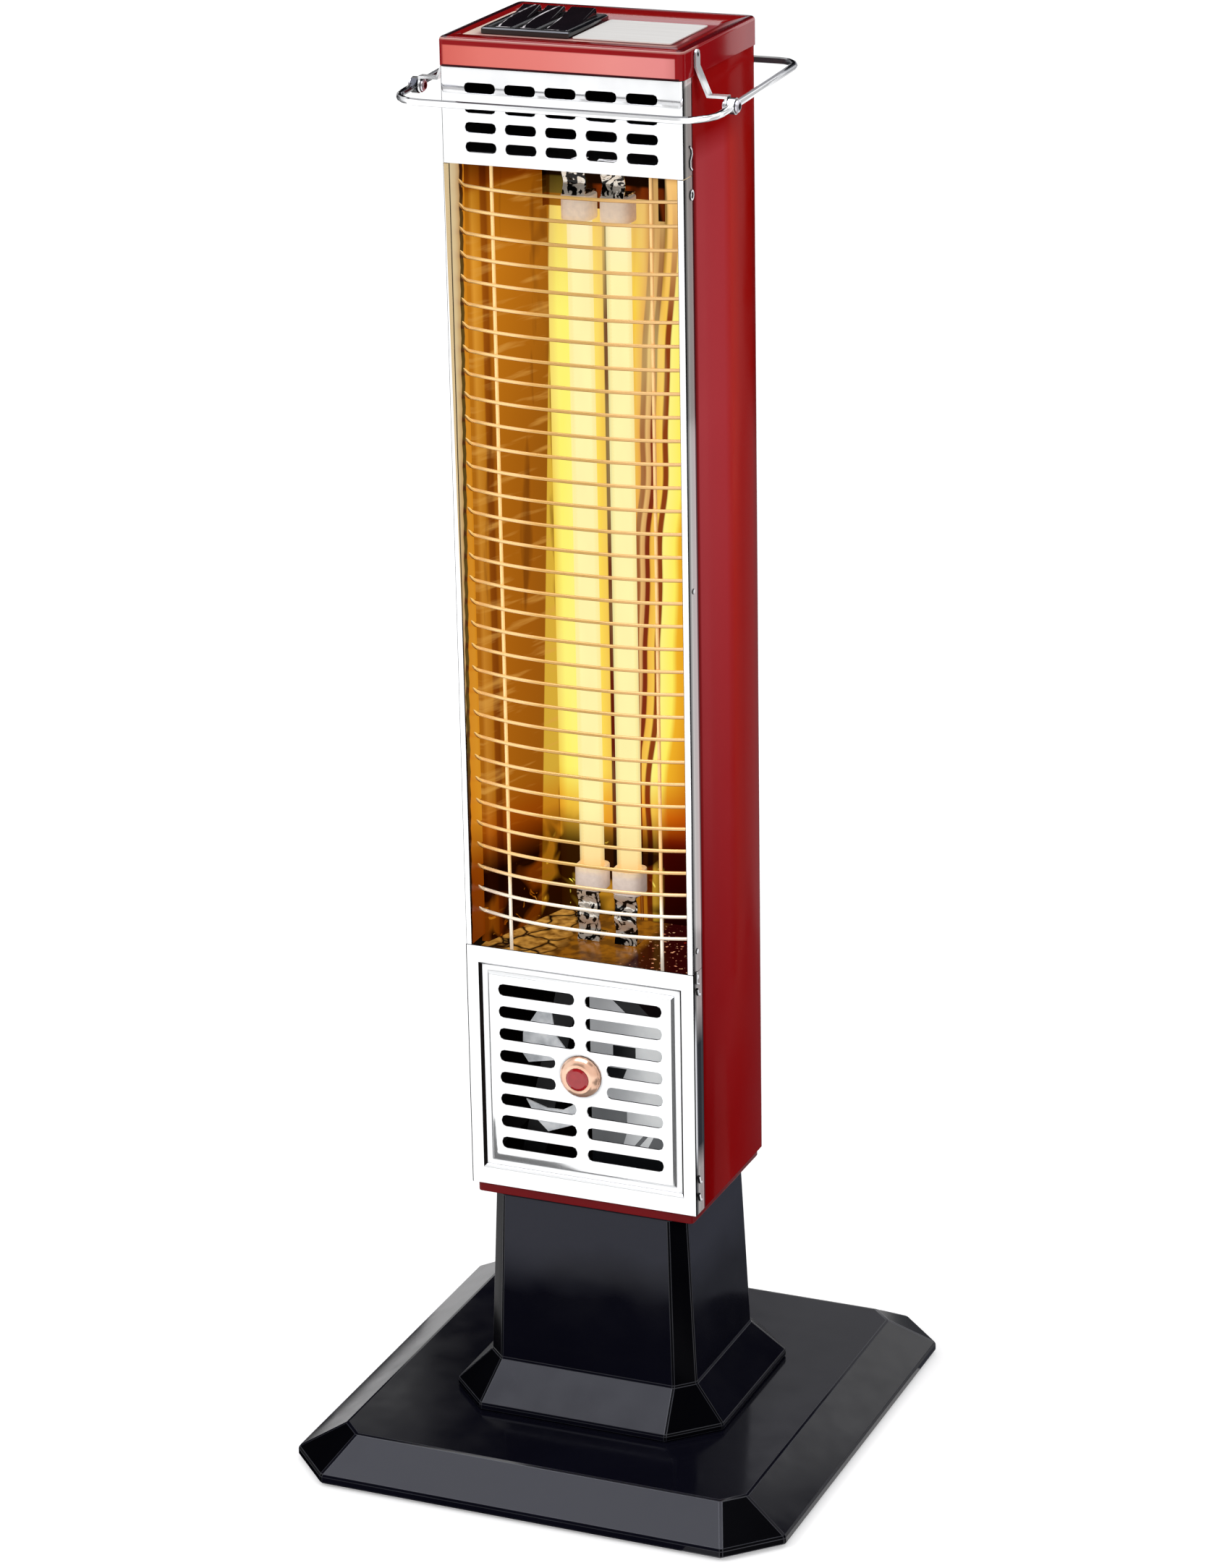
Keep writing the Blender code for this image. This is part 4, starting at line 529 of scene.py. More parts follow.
# The side flanges carry painted reflections, bands of white, grey and black that also glow.
flange_painted_reflection = banded(tree, y, (
    (-53.5, "#08080A"), (-51.6, "#101014"), (-50.6, "#7A7875"), (-49.4, "#8E8B89"),
    (-48.4, "#B8B2AE"), (-46.0, "#ABA3A0"), (-43.0, "#AEA19F"), (-41.4, "#BCA5A4"),
    (-40.8, "#60282C"), (-39.5, "#08080A")))
low_flange_painted_reflection = banded(tree, y, (
    (-53.5, "#101014"), (-52.2, "#101014"), (-51.8, "#F4F4F6"), (-50.4, "#FFFFFF"),
    (-49.4, "#6A6A70"), (-48.4, "#1C1C20"), (-44.0, "#101014"), (-42.0, "#3A3A40"),
    (-39.5, "#08080A")))
darkened = add(tree, "Math MULTIPLY", add(tree, "MapRange", z, 0.186, 0.200),
               add(tree, "MapRange", z, 0.262, 0.285, 1.0, 0.0))
flange_painted_reflection = add(tree, "Mix", darkened, flange_painted_reflection, low_flange_painted_reflection)
on_side = add(tree, "Math GREATER_THAN", add(tree, "Math ABSOLUTE", x), SIDE_PLANE)
plated = add(tree, "Mix", on_side, plated, add(tree, "Mix MULTIPLY", 1.0, plated, flange_painted_reflection))
feed(shader, add(tree, "Mix", on_side, "#000000", flange_painted_reflection), "Emission Color")
# Dark lines of painted shade run along the window's rims and the left outer edge, and a tan strip
# of painted lamp light lies beside the left window edge.
window_rims_painted_shade = add(tree, "Math COMPARE", add(tree, "Math ABSOLUTE", x), WINDOW_SIDE, RIM_LINE)
beside_window = add(tree, "Math COMPARE", z, *WINDOW_MIDDLE)
window_rims_painted_shade = add(tree, "Math MULTIPLY", window_rims_painted_shade, beside_window)
from_jamb = add(tree, "Math SUBTRACT", -GLOW_SIDE, x)
glow_reach = add(tree, "MapRange", z, *GLOW_SPAN, 0.0, GLOW_WIDTH)
glow_strip = add(tree, "Math MULTIPLY", add(tree, "Math LESS_THAN", x, -GLOW_SIDE),
                 add(tree, "Math LESS_THAN", from_jamb, glow_reach))
glow_strip = add(tree, "Math MULTIPLY", glow_strip, beside_window)
window_rims_painted_shade = add(tree, "Math MAXIMUM", window_rims_painted_shade, add(tree, "Math LESS_THAN", x, RIM_LINE - SIDE_PLANE))
plated = add(tree, "Mix", glow_strip, add(tree, "Mix", window_rims_painted_shade, plated, "#141418"), "#C9B186")
feed(shader, plated)
feed(shader, grain(tree, 0.02, span=(0.3, 0.7, 0.05, 0.11)), "Roughness")
lit_jamb, tree, shader = lit_sheet("steel_chrome_lit_by_lamps")
x, y, z = place(tree)
notch = add(tree, "Math PINGPONG", z, NOTCH_PITCH / 2)
notched = add(tree, "Math ADD", y, add(tree, "Math MULTIPLY", notch, 2 * NOTCH_DEPTH / NOTCH_PITCH))
lowered = add(tree, "Math MULTIPLY", add(tree, "Math SUBTRACT", z, JAMB_TOP), -JAMB_TAPER)
# Across the jamb the lamp light is painted with a dark painted shadow line along the notched rear
# edge and a dark painted line along the front edge; lower down it is painted darker as shade.
jamb = banded(tree, add(tree, "Math ADD", notched, lowered), (
    (-53.5, "#D8C49C"), (-46.0, "#CDB48A"), (-40.6, "#B89060"), (-40.0, "#2A0E04"),
    (-36.2, "#3A1406"), (-35.4, "#C87A18"), (-19.0, "#D08A20")))
jamb = add(tree, "Mix", add(tree, "MapRange", y, -0.0528, -0.0522), "#0A0806", jamb)
jamb_lower_painted_shade = banded(tree, z, (
    (306, "#8A5A30"), (350, "#A87840"), (380, "#FFFFFF"), (759, "#FFFFFF")))
feed(shader, add(tree, "Mix MULTIPLY", 1.0, jamb, jamb_lower_painted_shade), "Emission Color")
recast("top_louvre_panel", "chromed_top_panel", bright_sheet, SHEET_EDGE, inner_finish=primer_and_painted_shade)
recast("lower_louvre_panel", "chromed_lower_panel", bright_sheet, SHEET_EDGE, inner_finish=primer_and_painted_shade)
recast("left_stile", "chromed_left_stile", bright_sheet, inner_finish=lit_jamb)
recast("right_stile", "chromed_right_stile", bright_sheet, inner_finish=lit_jamb)


# Guard
# Drawn steel wire, bowed forwards, spot-welded to two uprights and plated. Its colour is painted
# lamp light that glows: gold, deeper where it crosses in front of the lamps and pale at the foot.
GUARD_WIRES = 33
GUARD_PITCH = 0.0132
GUARD_RADIUS = 0.0010
GUARD_SIDES = 10
GUARD_STATIONS = 33
GUARD_BOW = 0.0112
GUARD_BOW_POWER = 2.4
UPRIGHT_X = 0.0465
UPRIGHT_BEHIND = 0.0015


def swept(paths, radii, sides, up=(0.0, 0.0, 1.0), looped=False):
    """Rods along paths. At each station a ring stands square to the path:
    path + radius * (cos(angle) * side + sin(angle) * lift), where lift is the up direction made
    square to the path and side is the path's direction crossed with lift."""
    paths = np.asarray(paths, float)
    before, after = np.roll(paths, 1, 1), np.roll(paths, -1, 1)
    if not looped:
        before[:, 0], after[:, -1] = paths[:, 0], paths[:, -1]
    along = after - before
    along /= np.linalg.norm(along, axis=2, keepdims=True)
    up = np.asarray(up, float)
    lift = up - along * (along @ up)[..., None]
    lift /= np.linalg.norm(lift, axis=2, keepdims=True)
    side = np.cross(along, lift)
    angle = np.linspace(0, math.tau, sides, endpoint=False)
    radii = np.broadcast_to(np.asarray(radii, float), paths.shape[:2] + (2,))
    rings = (paths[:, :, None]
             + radii[:, :, None, :1] * np.cos(angle)[:, None] * side[:, :, None]
             + radii[:, :, None, 1:] * np.sin(angle)[:, None] * lift[:, :, None])
    count, stations = paths.shape[:2]
    index = np.arange(count * stations * sides).reshape(count, stations, sides)
    ahead = np.roll(index, -1, 1) if looped else index[:, 1:]
    here = index if looped else index[:, :-1]
    quads = np.stack([here, ahead, np.roll(ahead, -1, 2), np.roll(here, -1, 2)], -1).reshape(-1, 4)
    faces = quads.tolist()
    if not looped:
        faces += index[:, 0].tolist() + index[:, -1, ::-1].tolist()
    return rings.reshape(-1, 3), faces


def piece(name, points, faces, finish, nodes, slot=None, body=None):
    """Make a smoothly shaded piece that stands for its CAD nodes and rides on their body."""
    mesh = bpy.data.meshes.new(name)
    mesh.from_pydata(np.asarray(points).tolist(), [], faces)
    mesh.shade_smooth()
    mesh.set_sharp_from_angle(angle=SMOOTH_ANGLE)
    mesh.materials.append(finish)
    made = placed(name, mesh)
    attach(made, body or frame["nodes"][nodes[0]]["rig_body"])
    if nodes:
        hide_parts(*nodes)


def together(*shapes):
    """Join several lists of points and faces into one."""
    points, faces, start = [], [], 0
    for part_points, part_faces in shapes:
        points.append(part_points)
        faces += [[start + corner for corner in face] for face in part_faces]
        start += len(part_points)
    return np.concatenate(points), faces


guard_low, guard_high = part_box("guard_grille")
guard_half = guard_high.x
guard_x = np.linspace(-guard_half, guard_half, GUARD_STATIONS)
guard_front = guard_low.y + GUARD_RADIUS
guard_y = guard_front + GUARD_BOW * np.abs(guard_x / guard_half) ** GUARD_BOW_POWER
guard_middle = (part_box("left_stile")[0].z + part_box("left_stile")[1].z) / 2
guard_z = guard_middle + (np.arange(GUARD_WIRES) - (GUARD_WIRES - 1) / 2) * GUARD_PITCH
wire_paths = np.stack(np.broadcast_arrays(guard_x[None], guard_y[None], guard_z[:, None]), -1)
upright_y = guard_front + GUARD_BOW * (UPRIGHT_X / guard_half) ** GUARD_BOW_POWER + UPRIGHT_BEHIND
upright_paths = np.array([[(side * UPRIGHT_X, upright_y, guard_low.z),
                           (side * UPRIGHT_X, upright_y, guard_high.z)] for side in (-1, 1)])
# Each wire's end is bent forwards and up along the stile's jamb, as a hook that holds the guard.
HOOK_X = 0.0640
HOOK_RISE = 0.0055
HOOK_REACH = 0.0085
HOOK_STATIONS = 7
hook_along = np.linspace(0, 1, HOOK_STATIONS)
hook_root = guard_front + GUARD_BOW * (HOOK_X / guard_half) ** GUARD_BOW_POWER
hook_paths = np.stack(np.broadcast_arrays(
    np.array([-HOOK_X, HOOK_X])[:, None, None], hook_root - HOOK_REACH * hook_along,
    guard_z[:, None] + HOOK_RISE * hook_along ** 1.5), -1).reshape(-1, HOOK_STATIONS, 3)
hook_radii = GUARD_RADIUS * np.sqrt(np.clip(1.04 - hook_along ** 4, 0, 1))
hook_radii = np.repeat(hook_radii[:, None], 2, 1)
wire_painted_lamp_light, tree, shader = principled("steel_wire_plated_painted_lamp_light", Metallic=0.3, Roughness=0.25,
                                     Emission_Strength=0.3)
x, y, z = place(tree)
# The wire's colour is painted lamp light, pale at the foot, with dark brown painted shade on the
# undersides.
along_wire = banded(tree, x, (
    (-66, "#F3CE8C"), (-34, "#EFC88A"), (-22, "#D8A860"), (-10, "#C9A05C"), (14, "#C9A05C"),
    (28, "#DDB070"), (66, "#EBC488")))
pale_foot_painted_light = add(tree, "Mix", add(tree, "MapRange", z, 0.335, 0.352, 1.0, 0.0), along_wire, "#F4EAD8")
facing = place(tree, "NewGeometry", "Normal")[2]
shaded = add(tree, "Mix", add(tree, "MapRange", facing, -0.75, -0.1, 1.0, 0.0), pale_foot_painted_light, "#7A4A10")
feed(shader, shaded, "Base Color", "Emission Color")
piece("guard_of_bowed_wires", *together(
    swept(wire_paths, GUARD_RADIUS, GUARD_SIDES),
    swept(hook_paths, hook_radii, 8, up=(1.0, 0.0, 0.0)),
    swept(upright_paths, GUARD_RADIUS, GUARD_SIDES, up=(1.0, 0.0, 0.0))),
    wire_painted_lamp_light, ["guard_grille"])


# Lamps
# Each is a clear quartz tube with a coiled resistance wire at about 1100 degrees, held at both
# ends by a steatite block. The close coil glows pale yellow and the quartz round it deeper.
COIL_TURNS = 170
COIL_POINTS = 12
COIL_RADIUS = 0.0040
COIL_WIRE = 0.0011
COIL_END = 0.004
TUBE_SIDES = 40
TUBE_WALL = 0.0010
TUBE_GLOW = 0.55
CERAMIC_EDGE = 0.0006

lamp_glow, tree = glowing("quartz_glowing")
heat = banded(tree, place(tree)[2], (
    (339, "#FFB45A"), (352, "#FFE0A0"), (380, "#FFF8B4"), (560, "#FFF9B8"), (690, "#FFF7B8"),
    (728, "#FFF3CC")))
clear = add(tree, "BsdfTransparent", "#FFF4D8")
add(tree, "OutputMaterial", add(tree, "MixShader", TUBE_GLOW, clear,
                                add(tree, "Emission", heat, 1.0)))

coil_glow, tree = glowing("resistance_wire_at_yellow_heat")
flicker = grain(tree, 0.012, 3.0, (1, 1, 0.3), span=(0.3, 0.7, 0.95, 1.3))
add(tree, "OutputMaterial", add(tree, "Emission", "#FFFFE4", flicker))

for hand in ("left", "right"):
    low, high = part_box("quartz_tube_" + hand)
    lamp_x, lamp_y = (low.x + high.x) / 2, (low.y + high.y) / 2
    outer = (high.x - low.x) / 2
    angle = np.linspace(0, math.tau, TUBE_SIDES, endpoint=False)
    corners = [(outer, low.z), (outer, high.z), (outer - TUBE_WALL, high.z),
               (outer - TUBE_WALL, low.z)]
    radius, height = np.array(corners).T
    rings = np.stack(np.broadcast_arrays(
        lamp_x + radius[:, None] * np.cos(angle), lamp_y + radius[:, None] * np.sin(angle),
        height[:, None]), -1)
    index = np.arange(rings.shape[0] * TUBE_SIDES).reshape(-1, TUBE_SIDES)
    above = np.roll(index, -1, 0)
    faces = np.stack([index, np.roll(index, -1, 1), np.roll(above, -1, 1), above], -1)
    piece("glowing_tube_" + hand, rings.reshape(-1, 3), faces.reshape(-1, 4).tolist(), lamp_glow,
          ["quartz_tube_" + hand])
    turn = np.linspace(0, math.tau * COIL_TURNS, COIL_TURNS * COIL_POINTS + 1)
    coil_low, coil_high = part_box("heating_coil_" + hand)
    path = np.stack([lamp_x + COIL_RADIUS * np.cos(turn), lamp_y + COIL_RADIUS * np.sin(turn),
                     np.linspace(coil_low.z + COIL_END, coil_high.z - COIL_END, turn.size)], -1)
    piece("glowing_coil_" + hand, *swept(path[None], COIL_WIRE, 6), coil_glow,
          ["heating_coil_" + hand])

steatite, tree, shader = principled("steatite_pressed_unglazed_painted_lamp_light", Roughness=0.6,
                                    Emission_Strength=0.3)
# The blocks' colour is painted lamp light that also glows, palest near the tube ends.
caps_painted_lamp_light = banded(tree, place(tree)[2], (
    (331, "#CCBEB6"), (341, "#DED0C4"), (345, "#F0D8B0"), (346, "#E2D0BC"), (722, "#E4C8A0"),
    (726, "#E2CEB6"), (737, "#D6C4B2")))
caps_painted_lamp_light = add(tree, "Mix", grain(tree, 0.003, 4.0, span=(0.3, 0.7, 0.0, 0.35)), caps_painted_lamp_light, "#B4A498")
feed(shader, caps_painted_lamp_light, "Base Color", "Emission Color")
ripple(shader, 0.0007, 0.00008, 3.0)
strip_painted_reflections, tree, shader = principled("spring_steel_strip_painted_reflections", Metallic=0.5, Roughness=0.12)
# Black and white swirls are painted on the strip as painted reflections.
swirl_painted_reflection = grain(tree, 0.007, distortion=1.5, span=(0.45, 0.49))
feed(shader, add(tree, "Mix", swirl_painted_reflection, "#0B0A0A", "#F2EDE2"))
ripple(shader, 0.006, 0.0012)
for level in ("lower", "upper"):
    for hand in ("left", "right"):
        end = level + "_" + hand
        recast("lamp_cap_" + end, "steatite_cap_" + end, steatite, CERAMIC_EDGE)
        recast("lamp_holder_" + end, "spring_strip_" + end, strip_painted_reflections)


# Reflector
# Anodised aluminium sheet, folded at the two sides of the back panel. Its colour is painted lamp
# light that glows, in upright bands of yellow and orange, brown and dark near the foot.
BACK_HALF = 0.045
STREAK_SLOPE = 0.05
STREAK_MIDDLE = 0.55
STREAK_WANDER = 0.010
LIT_FOOT = 0.36
LIT_SLOPE = 0.0496
LIT_FROM = 0.0129
LIT_BACK_SLOPE = 0.04
LIT_BACK_FROM = -0.0583
DECK_CELL_SIZE = 0.016
DECK_CELL_SHIFT = 0.02


def patches(tree, x, z, corners):
    """1 inside any of the given slanted boxes, else 0. Each is low x, high x, low z, high z and
    the lean of its sides, in millimetres of x for each millimetre of z."""
    total = None
    for x_low, x_high, z_low, z_high, lean in corners:
        risen = add(tree, "Math SUBTRACT", z, z_low / 1000)
        leaned = add(tree, "Math SUBTRACT", x, add(tree, "Math MULTIPLY", risen, lean))
        wide = add(tree, "Math COMPARE", leaned, (x_low + x_high) / 2000, (x_high - x_low) / 2000)
        tall = add(tree, "Math COMPARE", z, (z_low + z_high) / 2000, (z_high - z_low) / 2000)
        inside = add(tree, "Math MULTIPLY", wide, tall)
        total = inside if total is None else add(tree, "Math MAXIMUM", total, inside)
    return total


reflector_painted_lamp_light, tree, shader = lit_sheet("aluminium_polished_lit_by_lamps", 0.25)
x, y, z = place(tree)
drift = add(tree, "Math MULTIPLY", add(tree, "Math SUBTRACT", z, STREAK_MIDDLE), STREAK_SLOPE)
wander = grain(tree, 0.11, 1.0, (0.2, 0.2, 1), span=(0, 1, -STREAK_WANDER, STREAK_WANDER))
slanted = add(tree, "Math ADD", add(tree, "Math SUBTRACT", x, drift), wander)
right_part = add(tree, "MapRange", x, 0.004, 0.007)
bent_x = add(tree, "Mix", right_part, x, slanted, data_type="FLOAT")
back_middle = banded(tree, bent_x, (
    (-45, "#F2CC48"), (-42.5, "#FAE05C"), (-40, "#FFF46C"), (-30, "#FFF67C"), (-22, "#FFDA58"),
    (-17.2, "#FFDC58"), (-12.2, "#F6C850"), (-11.6, "#5A1408"), (-7.9, "#6A1A0A"),
    (-7.4, "#F0A830"), (0, "#FFD84A"), (6.3, "#E8A040"), (6.9, "#9C5A30"), (9.4, "#9C5A30"),
    (10.4, "#E8B870"), (12.6, "#D8A060"), (13.2, "#7C2A12"), (15.5, "#7C2A12"), (16.3, "#F2B848"),
    (19.8, "#F8C850"), (20.6, "#8A3C14"), (23.2, "#8A3C14"), (24.0, "#FFF484"), (31, "#FFEE60"),
    (34, "#F0B028"), (45, "#D88A18")))
back_top = banded(tree, bent_x, (
    (-45, "#C88A30"), (-38, "#F5CC60"), (-17, "#F8C860"), (-11, "#E8A848"), (-10.4, "#5A2C18"),
    (-8, "#6A3A24"), (-7, "#D8A050"), (4, "#E8B868"), (7, "#C08A50"), (15, "#C89858"),
    (16.5, "#3A1C10"), (18, "#F8C67C"), (24, "#F4C070"), (26, "#9A5A20"), (29, "#F8D07C"),
    (45, "#D89838")))
back = add(tree, "Mix", add(tree, "MapRange", z, 0.66, 0.735), back_middle, back_top)
shine = grain(tree, 0.02, 3.0, (1, 1, 0.12), span=(0.5, 0.75, 0.0, 0.35))
back = add(tree, "Mix", shine, back, "#FFF6A0")
wing = banded(tree, y, (
    (-34, "#C07A18"), (-31, "#E0A038"), (-25.4, "#CC8820"), (-24, "#9A540C"), (-20.2, "#8E4A0A"),
    (-18.6, "#B06A14"), (-13.5, "#C27A18"), (10, "#B46E14"), (29, "#A46412")))
above_foot = add(tree, "Math SUBTRACT", z, LIT_FOOT)
rear = add(tree, "Math SUBTRACT", y, add(tree, "Math MULTIPLY", above_foot, LIT_SLOPE))
wing = add(tree, "Mix", add(tree, "MapRange", rear, LIT_FROM, LIT_FROM + 0.0008), wing, "#F8D850")
edge_x = add(tree, "Math SUBTRACT", x, add(tree, "Math MULTIPLY", above_foot, LIT_BACK_SLOPE))
edge_shade = add(tree, "MapRange", edge_x, LIT_BACK_FROM, LIT_BACK_FROM + 0.001, 1.0, 0.0)
back = add(tree, "Mix", edge_shade, back, "#A46412")
wing_fade = banded(tree, z, (
    (300, "#D0C0B0"), (450, "#DCC8B8"), (580, "#E0D0C0"), (700, "#FFF4E8"), (738, "#D8C8A0"),
    (764, "#6A6040")))
wing = add(tree, "Mix MULTIPLY", 1.0, wing, wing_fade)
# Lighter and darker streaks on the wings are painted light and painted shade.
painted_bright_streaks = grain(tree, 0.010, 3.0, (0.18, 0.18, 1.6), span=(0.56, 0.70, 0.0, 0.55))
wing = add(tree, "Mix", painted_bright_streaks, wing, "#DCA048")
painted_dark_streaks = grain(tree, 0.020, 3.0, (1, 1, 0.15), distortion=0.6, span=(0.60, 0.68, 0.0, 0.7))
wing = add(tree, "Mix", painted_dark_streaks, wing, "#6A3206")
sheet = add(tree, "Mix", add(tree, "Math GREATER_THAN", add(tree, "Math ABSOLUTE", x), BACK_HALF),
            back, wing)
foot_left = banded(tree, z, (
    (300, "#A88850"), (325, "#B8925A"), (345, "#C8A068"), (357, "#E8B478"), (372, "#F4D0A0"),
    (390, "#FFFFFF"), (738, "#FFFFFF"), (742, "#D8B080"), (764, "#B08850")))
# Near the foot lie dark patches of painted shade and bright painted glints.
painted_dark_patches = add(tree, "Math MULTIPLY", add(tree, "MapRange", z, 0.342, 0.368, 1.0, 0.0),
           grain(tree, 0.030, distortion=0.4, span=(0.43, 0.51)))
glints = add(tree, "Math MULTIPLY", add(tree, "MapRange", z, 0.338, 0.352, 1.0, 0.0),
             grain(tree, 0.009, distortion=1.0, span=(0.66, 0.69)))
foot_left = add(tree, "Mix", glints, add(tree, "Mix", painted_dark_patches, foot_left, "#2E1604"), "#FFF0C8")
foot_right = banded(tree, z, (
    (300, "#1A0204"), (345, "#3A0508"), (352, "#7A2A18"), (366, "#D89060"), (390, "#FFFFFF"),
    (738, "#FFFFFF"), (742, "#7A3A24"), (764, "#4A1408")))
fade = add(tree, "Mix", add(tree, "MapRange", x, 0.014, 0.020), foot_left, foot_right)
# Dark patches of painted shade lie at the top, behind the holders.
top_painted_shade_patches = patches(tree, x, z, (
    (-46, -8, 720.5, 770, 0), (-8, 19, 727.5, 770, 0), (22, 26, 716, 770, 0)))
top_right = add(tree, "Mix", grain(tree, 0.012, 2.0, (1, 1, 0.3), span=(0.45, 0.55)), "#1C0A04",
                "#7A3A1C")
top_right = add(tree, "Mix", add(tree, "MapRange", z, 0.7335, 0.7350), top_right, "#100604")
top_left = banded(tree, z, (
    (719, "#A87A40"), (727.3, "#98703A"), (727.8, "#6E6850"), (736.8, "#504E3A"), (738, "#120A06"),
    (764, "#100804")))
top_left = add(tree, "Mix", add(tree, "MapRange", x, -0.024, -0.020), top_left, top_right)
fade = add(tree, "Mix", top_painted_shade_patches, fade, top_left)
feed(shader, add(tree, "Mix MULTIPLY", 1.0, sheet, fade), "Emission Color")
recast("reflector", "folded_reflector", reflector_painted_lamp_light)

# The lower deck's colour is painted lamp light that glows: a cell pattern with dark edges on the
# left, golden brown in the middle, and dark red with painted glints on the right.
deck_painted_lamp_light, tree, shader = lit_sheet("zinc_plate_lit_by_lamps", 0.2)
x = place(tree)[0]
shifts = add(tree, "VectorMath SCALE", grain(tree, 0.02).outputs["Color"], Scale=DECK_CELL_SHIFT)
warp = add(tree, "VectorMath ADD", add(tree, "TexCoord").outputs["Object"], shifts)
cells = add(tree, "TexVoronoi", warp, Scale=1 / DECK_CELL_SIZE, feature="DISTANCE_TO_EDGE")
dark_edged_cells = add(tree, "Mix", add(tree, "MapRange", cells, 0.02, 0.10), "#120804",
             add(tree, "Mix", grain(tree, 0.006, span=(0.3, 0.7)), "#6A4010", "#C89040"))
painted_glints_right = add(tree, "Mix", grain(tree, 0.003, 3.0, span=(0.62, 0.66)), "#2A0404",
             add(tree, "Mix", grain(tree, 0.01, span=(0.3, 0.7)), "#F0C090", "#B02010"))
golden = add(tree, "Mix", grain(tree, 0.008, 3.0, span=(0.4, 0.6)), "#8A5410", "#5A340C")
deck_left = add(tree, "Mix", add(tree, "MapRange", x, -0.030, -0.020), dark_edged_cells, golden)
feed(shader, add(tree, "Mix", add(tree, "MapRange", x, 0.018, 0.024), deck_left, painted_glints_right),
     "Emission Color")
dress(deck_painted_lamp_light, "lower_deck")

glinting, tree, shader = principled("zinc_plate_catching_light", Metallic=0.5, Roughness=0.3,
                                    Emission_Strength=1.0)
x, y, z = place(tree)
# The zinc is painted dark as painted shade, with patches of painted glints that glow.
feed(shader, add(tree, "Mix", grain(tree, 0.006, 3.0), "#1A1A1C", "#4A4A4E"))
lit_spots = patches(tree, x, y, (
    (-60, -44, -52, -47, 0.5), (2, 9, -52, -40, 0.1), (17, 33, -52, -49, 0.2),
    (18, 32, -47, -42, -0.2)))
lit_spots = add(tree, "Math MULTIPLY", lit_spots, grain(tree, 0.004, span=(0.4, 0.5, 0.3, 1.0)))
feed(shader, add(tree, "Mix", lit_spots, "#000000", "#E8E8EC"), "Emission Color")
dress(glinting, "upper_deck")


# Lower compartment
# Behind the lower slots stand a slanting galvanised cover over the wiring and a bare brace.
# The cover glows as painted light, with black and darker grey patches painted on it.
cover_painted_glow, tree, shader = principled("galvanised_sheet_painted_glow", Roughness=0.45,
                                     Emission_Strength=0.45)
x, y, z = place(tree)
# The cover's colour also glows as painted light, lighter towards the right.
sheet = banded(tree, x, ((4, "#A2A4A6"), (20, "#B0B2B4"), (34, "#DCDEDE"), (50, "#F2F4F4")))
sheet = add(tree, "Mix", grain(tree, 0.012, 3.0, span=(0.3, 0.7, 0.0, 0.25)), sheet, "#909498")
black_patches = patches(tree, x, z, (
    (16, 60, 277, 300, -1.15), (28, 60, 264, 277, -1.15), (13, 27, 240, 249, 0),
    (-6, 17, 224, 235, 0.4), (-6, 60, 150, 182, 0)))
darker_patches = patches(tree, x, z, (
    (-6, 21, 198, 209, 0), (-6, 18, 186, 196, 0.3), (24, 27, 186, 196, 0.8),
    (33, 60, 186, 196, 0.5)))
sheet = add(tree, "Mix", black_patches, add(tree, "Mix", darker_patches, sheet, "#5E6062"), "#0C0D10")
feed(shader, sheet, "Base Color", "Emission Color")
ripple(shader, 0.002, 0.00003)
dress(cover_painted_glow, "wiring_cover")
# The bare brace is painted near black as painted shade.
strap_painted_shade = mottled("mild_steel_strap_painted_shade_dark", 0.01, "#0C0C0E", "#1A1A1D", 3.0, Roughness=0.6)
dress(strap_painted_shade, "chassis_brace")

# The strap carries two bare blades, cut and bent from bright sheet, that stand in its plane.
BLADE_THICKNESS = 0.0010
BLADE_OUTLINES = (
    ((-35, 262), (-26, 263), (-24, 249), (-16, 239), (-25, 233), (-41, 229.6), (-44.5, 234.6),
     (-44, 248)),
    ((-43, 206), (-36, 193.6), (-29.6, 187.5), (-12, 194.6), (-11, 208), (-20, 202.4),
     (-30, 202.0)))


def blade(outline, front, thickness):
    """A flat plate: its outline in the plane y = front, and the same outline behind it."""
    flat = np.array(outline) / 1000
    count = len(flat)
    points = np.concatenate([np.insert(flat, 1, at, 1) for at in (front, front + thickness)])
    ring = np.arange(count)
    walls = np.stack([ring, np.roll(ring, -1), np.roll(ring, -1) + count, ring + count], -1)
    turned = np.cross(flat - flat.mean(0), np.roll(flat, -1, 0) - flat.mean(0)).sum() > 0
    faces = [ring.tolist(), (ring[::-1] + count).tolist()] + walls[:, ::-1].tolist()
    return points, faces if turned else [face[::-1] for face in faces]


blade_painted_glow, tree, shader = principled("steel_sheet_galvanised_painted_glow", Metallic=0.2,
                                        Roughness=0.4, Emission_Strength=0.3)
# The blades' colour also glows faintly as painted light.
plain = add(tree, "Mix", grain(tree, 0.010, 3.0, span=(0.3, 0.7)), "#B4B8BC", "#F4F6F8")
feed(shader, plain, "Base Color", "Emission Color")
brace_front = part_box("chassis_brace")[0].y - BLADE_THICKNESS
piece("bright_blades_on_brace", *together(*(
    blade(outline, brace_front, BLADE_THICKNESS) for outline in BLADE_OUTLINES)),
    blade_painted_glow, [], slot="chassis_brace", body="tower")


# Badge
# A spun copper boss with a lacquered red disc let into its face, left bare.
BADGE_HEIGHT = (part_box("badge_boss")[0].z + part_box("badge_boss")[1].z) / 2
BADGE_SHADE = (BADGE_HEIGHT - 0.0125, BADGE_HEIGHT - 0.0085)
copper, tree, shader = principled("copper_spun_lacquered", Metallic=0.6, Roughness=0.2)
